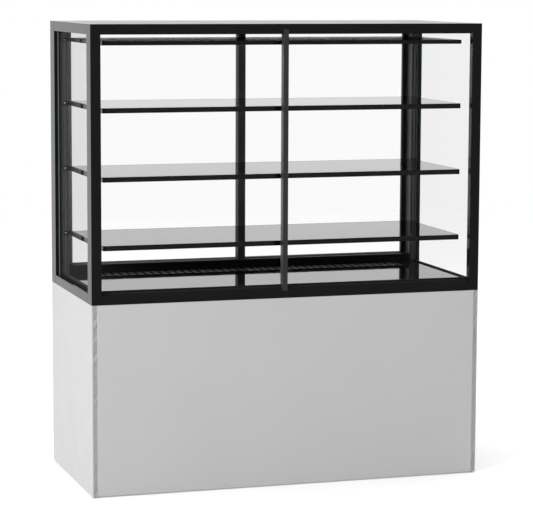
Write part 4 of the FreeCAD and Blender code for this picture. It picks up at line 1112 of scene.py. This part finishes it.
compressor = {
    "sides": 56,
    "belt": 1.03,           # the welded seam's radius as a share of the shell's
    "dish": (14 * mm, 0.8, 4 * mm),         # lift, share of the shell's radius, height
    "shell": ((5 * mm, 1.19), (5 * mm, 1.05), (48 * mm, 1.0), (0, 1.03), (5 * mm, 1.0), (0, 1 / 1.03),
              (62 * mm, 1.0), (14 * mm, 0.97), (12 * mm, 0.92), (9 * mm, 0.85), (7 * mm, 0.72),
              (4 * mm, 0.45)),
    "coverFrom": (4 * mm, -26 * mm, 60 * mm),       # from the shell's left, middle and foot
    "coverTo": (22 * mm, 26 * mm, 118 * mm),
    "coverCorner": 7 * mm,
    "coverRim": 4 * mm,
    "coverRaised": 2 * mm,
    "bedHalf": 60 * mm,
    "bedFrom": 10 * mm,
    "bedTo": 16 * mm,
    "bedCorner": 14 * mm,
}
grommet = {
    "apart": (78 * mm, 48 * mm),
    "radius": 8.5 * mm,
    "foot": 1.5 * mm,
    "steps": ((1.5 * mm, 1.17), (3 * mm, 1.0), (0, 0.8), (1.5 * mm, 1.0), (0, 1.25), (2.4 * mm, 1.0),
              (0, 0.5), (9 * mm, 1.0), (0, 1.4), (4 * mm, 1.0)),
}


def makeCompressor():
    # welded steel shell with a seam belt, on a bed with rubber grommets; a cover over its terminals
    low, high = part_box("compressor")
    axis = Vector(((low.x + high.x) / 2, (low.y + high.y) / 2, low.z))
    radius = (high.y - low.y) / 2 / compressor["belt"]
    lift, share, rise = compressor["dish"]
    shell = addDrum("shell", "z", axis + axisWay["z"] * lift, radius * share, rise, compressor["sides"])
    grow(shell, "z", compressor["shell"], axis)
    side = Vector((low.x, axis.y, low.z))
    lid = addBlock("cover", side + Vector(compressor["coverFrom"]), side + Vector(compressor["coverTo"]))
    roundEdges(lid, running("x"), compressor["coverCorner"], 4)
    select(lid, "FACE", facing("x", -1))
    bpy.ops.mesh.inset(thickness=compressor["coverRim"], depth=0)
    bpy.ops.mesh.extrude_region_move(
        TRANSFORM_OT_translate={"value": axisWay["x"] * -compressor["coverRaised"]})
    leave()
    bed = addBlock("bed", (low.x, axis.y - compressor["bedHalf"], low.z + compressor["bedFrom"]),
                   (high.x, axis.y + compressor["bedHalf"], low.z + compressor["bedTo"]))
    roundEdges(bed, running("z"), compressor["bedCorner"], 5)
    finishPiece(joinPieces("compressor_shell", [shell, bed]), "blackEnamel", "compressor", edge=0.8 * mm)
    finishPiece(lid, "mouldedNylon", edge=0.8 * mm)
    grommets = []
    apartX, apartY = grommet["apart"]
    for wayX in (-1, 1):
        for wayY in (-1, 1):
            spot = axis + Vector((wayX * apartX, wayY * apartY, 0))
            grommets.append(addDrum("grommet", "z", spot, grommet["radius"], grommet["foot"], 28))
            grow(grommets[-1], "z", grommet["steps"], spot)
    finishPiece(joinPieces("compressor_grommets", grommets), "epdmRubber",
                edge=0.4 * mm)


# each coil: tube rows up and across, their spacing, and the height of its feet
coils = {
    "evaporator_coil": {"up": 4, "across": 3, "rise": 25 * mm, "run": 25 * mm, "foot": 10 * mm},
    "condenser_coil": {"up": 12, "across": 2, "rise": 25 * mm, "run": 24 * mm, "foot": 10 * mm},
}
fin = {
    "sheet": 0.5 * mm,
    "pitch": 4.5 * mm,      # real fins stand about 2 mm apart; they are drawn coarser
    "corner": 3 * mm,
    "tube": 4.8 * mm,
    "plate": 1.5 * mm,
    "pressed": ((3 * mm, 0), (0.8 * mm, -0.6 * mm)),    # field pressed into an end plate
    "end": 18 * mm,         # length of the bends beyond the end plates
    "out": 4 * mm,          # how far the straight tubes stand out of the fins
    "joint": 3 * mm,        # where the bends start
}


def makeCoil(node, coil):
    # finned block: pressed fins on copper tubes, joined by bends outside two folded end plates
    low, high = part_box(node)
    foot = low.z + coil["foot"]
    start, end = low.x + fin["end"], high.x - fin["end"]
    leaf = addBlock(node + "_leaf", (start, low.y, foot), (start + fin["sheet"], high.y, high.z))
    roundEdges(leaf, running("x"), fin["corner"], 1)
    count = int((end - start) / fin["pitch"])
    useModifier(leaf, "ARRAY", {"count": count, "use_relative_offset": False, "use_constant_offset": True,
                                "constant_offset_displace": (fin["pitch"], 0, 0)})
    finishPiece(leaf, "aluminiumFin", node)
    plates = []
    for place, outward in ((start - fin["plate"], -1), (end, 1)):
        plates.append(addBlock("plate", (place, low.y, low.z), (place + fin["plate"], high.y, high.z)))
        insetFace(plates[-1], "x", outward, fin["pressed"])
    finishPiece(joinPieces(node + "_plates", plates), "galvanisedSheet",
                edge=0.3 * mm, segments=1)
    middle = Vector(((start + end) / 2, (low.y + high.y) / 2, (foot + high.z) / 2))
    tubes = []
    bend = halfBend(coil["rise"] / 2)
    for column in range(coil["across"]):
        y = middle.y + (column - (coil["across"] - 1) / 2) * coil["run"]
        for row in range(coil["up"]):
            z = middle.z + (row - (coil["up"] - 1) / 2) * coil["rise"]
            tubes.append(addDrum("tube", "x", (start - fin["out"], y, z), fin["tube"],
                                 end - start + 2 * fin["out"], 14))
            # a bend joins each tube to the next one up, at alternate ends
            ends = ((end + fin["joint"], None), (start - fin["joint"], spin(0.5, "Z")))
            x, turn = ends[row % 2]
            if row + 1 < coil["up"]:
                tubes.append(copyPiece(bend, "bend", (x, y, z + coil["rise"] / 2), turn))
    bpy.data.objects.remove(bend)
    finishPiece(joinPieces(node + "_tubes", tubes), "drawnCopper", edge=0.3 * mm, segments=1)


def halfBend(radius):
    # half a ring of tube on the +X side, its ends closed
    clearSelection()
    bpy.ops.mesh.primitive_torus_add(major_radius=radius, minor_radius=fin["tube"], major_segments=24,
                                     minor_segments=12, rotation=(math.pi / 2, 0, 0))
    bend = settle(bpy.context.object)
    bpy.ops.object.mode_set(mode="EDIT")
    bpy.ops.mesh.select_all(action="SELECT")
    bpy.ops.mesh.bisect(plane_co=(0, 0, 0), plane_no=(1, 0, 0), use_fill=True, clear_inner=True)
    leave()
    return bend


# hexagon nuts on the pipes: axis and the nut's start, in millimetres along the pipes' own runs
nutPlaces = (("x", (42, 200, 300)), ("x", (42, 205, 100)), ("z", (-260, 60, 216)), ("z", (-215, 60, 214)),
             ("z", (-215, 20, 392)), ("z", (-40, 20, 392)))
nutShape = {"radius": 8 * mm, "long": 11 * mm, "body": 0.7, "shoulder": 0.72, "taper": 0.9}


def makePipes():
    # bent copper pipes with flare nuts near their ends
    finishPiece(copyNode("refrigerant_pipes", "copper_pipes"), "drawnCopper", "refrigerant_pipes")
    nuts = []
    for axis, place in nutPlaces:
        spot = Vector(place) * mm
        nuts.append(addDrum("nut", axis, spot, nutShape["radius"], nutShape["long"] * nutShape["body"], 6))
        grow(nuts[-1], axis, ((0, nutShape["shoulder"]),
                              (nutShape["long"] * (1 - nutShape["body"]), nutShape["taper"])), spot)
    finishPiece(joinPieces("flare_nuts", nuts), "turnedBrass", edge=0.5 * mm)


lidShape = {
    "inset": 3 * mm,
    "proud": 2.5 * mm,
    "field": ((8 * mm, 0), (2 * mm, 1 * mm)),       # its rim, then the raised field
}
cableGrommet = {
    "shares": (0.3, 0.7),   # where the two stand across the box
    "forward": 4 * mm,
    "drop": 7 * mm,
    "radius": 5 * mm,
    "high": 3 * mm,
    "steps": ((2 * mm, 1.5), (2 * mm, 1.0)),
}


def makeElectricalBox():
    # folded box, its lid facing the front with a raised field, and two cable grommets underneath
    finishPiece(copyNode("electrical_box", "switch_box"), "galvanisedSheet", "electrical_box", edge=0.6 * mm)
    low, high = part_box("electrical_box")
    lid = addBlock("switch_box_lid",
                   (low.x + lidShape["inset"], low.y - lidShape["proud"], low.z + lidShape["inset"]),
                   (high.x - lidShape["inset"], low.y, high.z - lidShape["inset"]))
    insetFace(lid, "y", -1, lidShape["field"])
    finishPiece(lid, "galvanisedSheet", edge=0.4 * mm)
    grommets = []
    for share in cableGrommet["shares"]:
        spot = Vector((low.x + (high.x - low.x) * share, (low.y + high.y) / 2 - cableGrommet["forward"],
                       low.z))
        grommets.append(addDrum("grommet", "z", spot - axisWay["z"] * cableGrommet["drop"],
                                cableGrommet["radius"], cableGrommet["high"], 24))
        grow(grommets[-1], "z", cableGrommet["steps"], spot)
    finishPiece(joinPieces("box_grommets", grommets), "mouldedNylon", edge=0.4 * mm)


display = {
    "inset": 6 * mm,        # window from the bezel's edge
    "wide": 29 * mm,
    "high": 22 * mm,
    "rim": 1.4 * mm,
    "proud": 0.7 * mm,
    "wall": 0.1 * mm,       # draft of the rim's inner wall
    "sunk": 0.8,            # depth of the window's seat as a share of the rim's height
    "window": (0.34 * mm, 0.52 * mm),       # back and front of the window over the case's face
    "windowGap": 0.2 * mm,
    "digit": (0.16 * mm, 0.28 * mm),        # back and front of the lit strokes
    "digitHalf": (2.6 * mm, 4.6 * mm),
    "stroke": 0.55 * mm,    # half the width of a lit stroke
    "strokeLong": (0.85, 0.42),     # half a stroke's length, flat and upright, as shares of digitHalf
    "step": 9.5 * mm,       # from digit to digit
}
# a stroke's middle in half widths and half heights of the digit, and whether it lies flat
strokes = {"top": (0, 1, True), "upperRight": (1, 0.5, False), "lowerRight": (1, -0.5, False),
           "foot": (0, -1, True), "upperLeft": (-1, 0.5, False), "middle": (0, 0, True)}
litDigits = (("top", "upperRight", "lowerRight", "foot", "middle"),
             ("top", "upperLeft", "lowerRight", "foot", "middle"))


def makeDisplay():
    # raised rim, smoked window and two lit digits behind it; the rear side reads from +X to -X
    low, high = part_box("controller")
    face = high.y
    middle = (low.z + high.z) / 2
    start, end = low.x + display["inset"], low.x + display["inset"] + display["wide"]
    foot, head = middle - display["high"] / 2, middle + display["high"] / 2
    rim = addBlock("display_rim", (start, face, foot), (end, face + display["proud"], head))
    insetFace(rim, "y", 1, ((display["rim"], 0), (display["wall"], -display["proud"] * display["sunk"])))
    finishPiece(rim, "texturedAbs", edge=0.12 * mm)
    rimWide = display["rim"] + display["windowGap"]
    back, front = display["window"]
    window = addBlock("display_window", (start + rimWide, face + back, foot + rimWide),
                      (end - rimWide, face + front, head - rimWide))
    finishPiece(window, "smokedAcrylic", edge=0.05 * mm)
    lit = []
    halfWide, halfHigh = display["digitHalf"]
    back, front = display["digit"]
    for index, digit in enumerate(litDigits):
        centreX = (start + end) / 2 + display["step"] * (0.5 - index)
        for name in digit:
            side, rise, flat = strokes[name]
            x, z = centreX - side * halfWide, middle + rise * halfHigh
            along = halfWide * display["strokeLong"][0] if flat else display["stroke"]
            up = display["stroke"] if flat else halfHigh * display["strokeLong"][1]
            lit.append(addBlock("stroke", (x - along, face + back, z - up),
                                (x + along, face + front, z + up)))
    finishPiece(joinPieces("display_digits", lit), "litSegment", edge=0.05 * mm,
                segments=1)


button = {
    "dish": ((1.2 * mm, 0), (0.4 * mm, -0.2 * mm)),     # its rim, then the dished face
    "arrow": 2.4 * mm,
    "print": 0.2 * mm,
    "printIn": 0.3 * mm,    # how far under the rim the printed arrow starts
}


def makeButtons():
    # silicone caps with a dished face and a printed arrow, each riding with its button
    for node, turn in (("button_up", 0.5), ("button_down", 0)):
        low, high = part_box(node)
        middle = (low + high) / 2
        cap = addBlock(node + "_cap", low, high)
        insetFace(cap, "y", 1, button["dish"])
        finishPiece(cap, "siliconeButton", node, edge=0.6 * mm, segments=3)
        arrow = addDrum(node + "_arrow", "y", (0, 0, 0), button["arrow"], button["print"], 3)
        arrow.data.transform(Matrix.Translation((middle.x, high.y - button["printIn"], middle.z))
                             @ spin(turn, "Y"))
        finishPiece(arrow, "whiteInk", body=bodyOf[node], edge=0.08 * mm, segments=1)


rocker = {
    "ring": 1.6 * mm,
    "line": 0.22 * mm,
    "bar": 1.7 * mm,        # half the height of the upright mark
    "barUp": 1.8 * mm,      # from the rocker's middle to the mark's foot
    "barFace": (0.05 * mm, 0.1 * mm),       # how far the mark goes under and over the face
    "ringPlace": (1.25 * mm, 3.5 * mm),     # out from the face, and down from the rocker's middle
    "slope": math.radians(19.65),
    "frame": 2.0 * mm,      # width of the frame round a rocker
    "frameHigh": 0.8 * mm,
    "opening": (12.5 * mm, 8.4 * mm),
}


def makeMarks(node, middle, face):
    # an upright bar and a ring in white ink, on the rocker's two slopes
    under, over = rocker["barFace"]
    foot = middle.z + rocker["barUp"]
    bar = addBlock("bar", (middle.x - rocker["line"] * 1.5, face - under, foot),
                   (middle.x + rocker["line"] * 1.5, face + over, foot + 2 * rocker["bar"]))
    out, down = rocker["ringPlace"]
    clearSelection()
    bpy.ops.mesh.primitive_torus_add(
        major_radius=rocker["ring"], minor_radius=rocker["line"], major_segments=28, minor_segments=6,
        location=(middle.x, face + out, middle.z - down), rotation=(rocker["slope"] - math.pi / 2, 0, 0))
    ring = settle(bpy.context.object)
    finishPiece(joinPieces(node + "_marks", [bar, ring]), "whiteInk", body=bodyOf[node],
                edge=0.05 * mm, segments=1)


def makeRockers():
    # glossy rockers with their marks, each in a moulded frame on the panel's boss
    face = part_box("electrical_box")[1].y
    halfWide, halfHigh = rocker["opening"]
    frames = []
    for node in ("power_switch", "light_switch"):
        low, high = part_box(node)
        middle = (low + high) / 2
        finishPiece(copyNode(node, node + "_rocker"), "polishedAbs", node, edge=0.5 * mm, segments=3)
        makeMarks(node, middle, face)
        half = Vector((halfWide, 0, halfHigh))
        rim = Vector((rocker["frame"], 0, rocker["frame"]))
        centre = Vector((middle.x, face, middle.z))
        frames.append(addBlock("frame", centre - half - rim,
                               centre + half + rim + axisWay["y"] * rocker["frameHigh"]))
        through = axisWay["y"] * 5 * mm
        cutAway(addBlock("hole", centre - half - through, centre + half + through), [frames[-1]])
    finishPiece(joinPieces("rocker_frames", frames), "texturedAbs", edge=0.25 * mm)


makeEvaporatorMotor()
makeShroud()
for fanName, fanShape in fans.items():
    makeFan(fanName, fanShape)
makeCompressor()
for coilName, coilShape in coils.items():
    makeCoil(coilName, coilShape)
makePipes()
makeElectricalBox()
print("cooling set made")

finishPiece(copyNode("controller", "controller_case"), "texturedAbs", "controller", edge=0.8 * mm,
            segments=3)
makeDisplay()
makeButtons()
makeRockers()
print("controls made")

# sheet and foam parts whose carried-over shape is the real one, with the width of their eased edges
sheetParts = {
    "base_pan": ("galvanisedSheet", 0.5), "evaporation_tray": ("galvanisedSheet", 0.5),
    "evaporator_fan_plate": ("galvanisedSheet", 0.3), "well_insulation": ("polyurethaneFoam", 2.0),
    "well_liner": ("brushedStainless", 0.5),
}
for sheetName, (sheetFinish, sheetEdge) in sheetParts.items():
    finishPiece(copyNode(sheetName, sheetName + "_piece"), sheetFinish, sheetName, edge=sheetEdge * mm)
print("sheet parts dressed")


# Floor

floorSize = 14.0


def makeFloor():
    clearSelection()
    bpy.ops.mesh.primitive_plane_add(size=floorSize, location=(0, 0, 0))
    ground = bpy.context.object
    ground.name = "floor"
    ground.data.materials.append(materials["seamlessPaper"])
    ground.visible_glossy = False   # the case's gloss shows the room, not the floor


makeFloor()
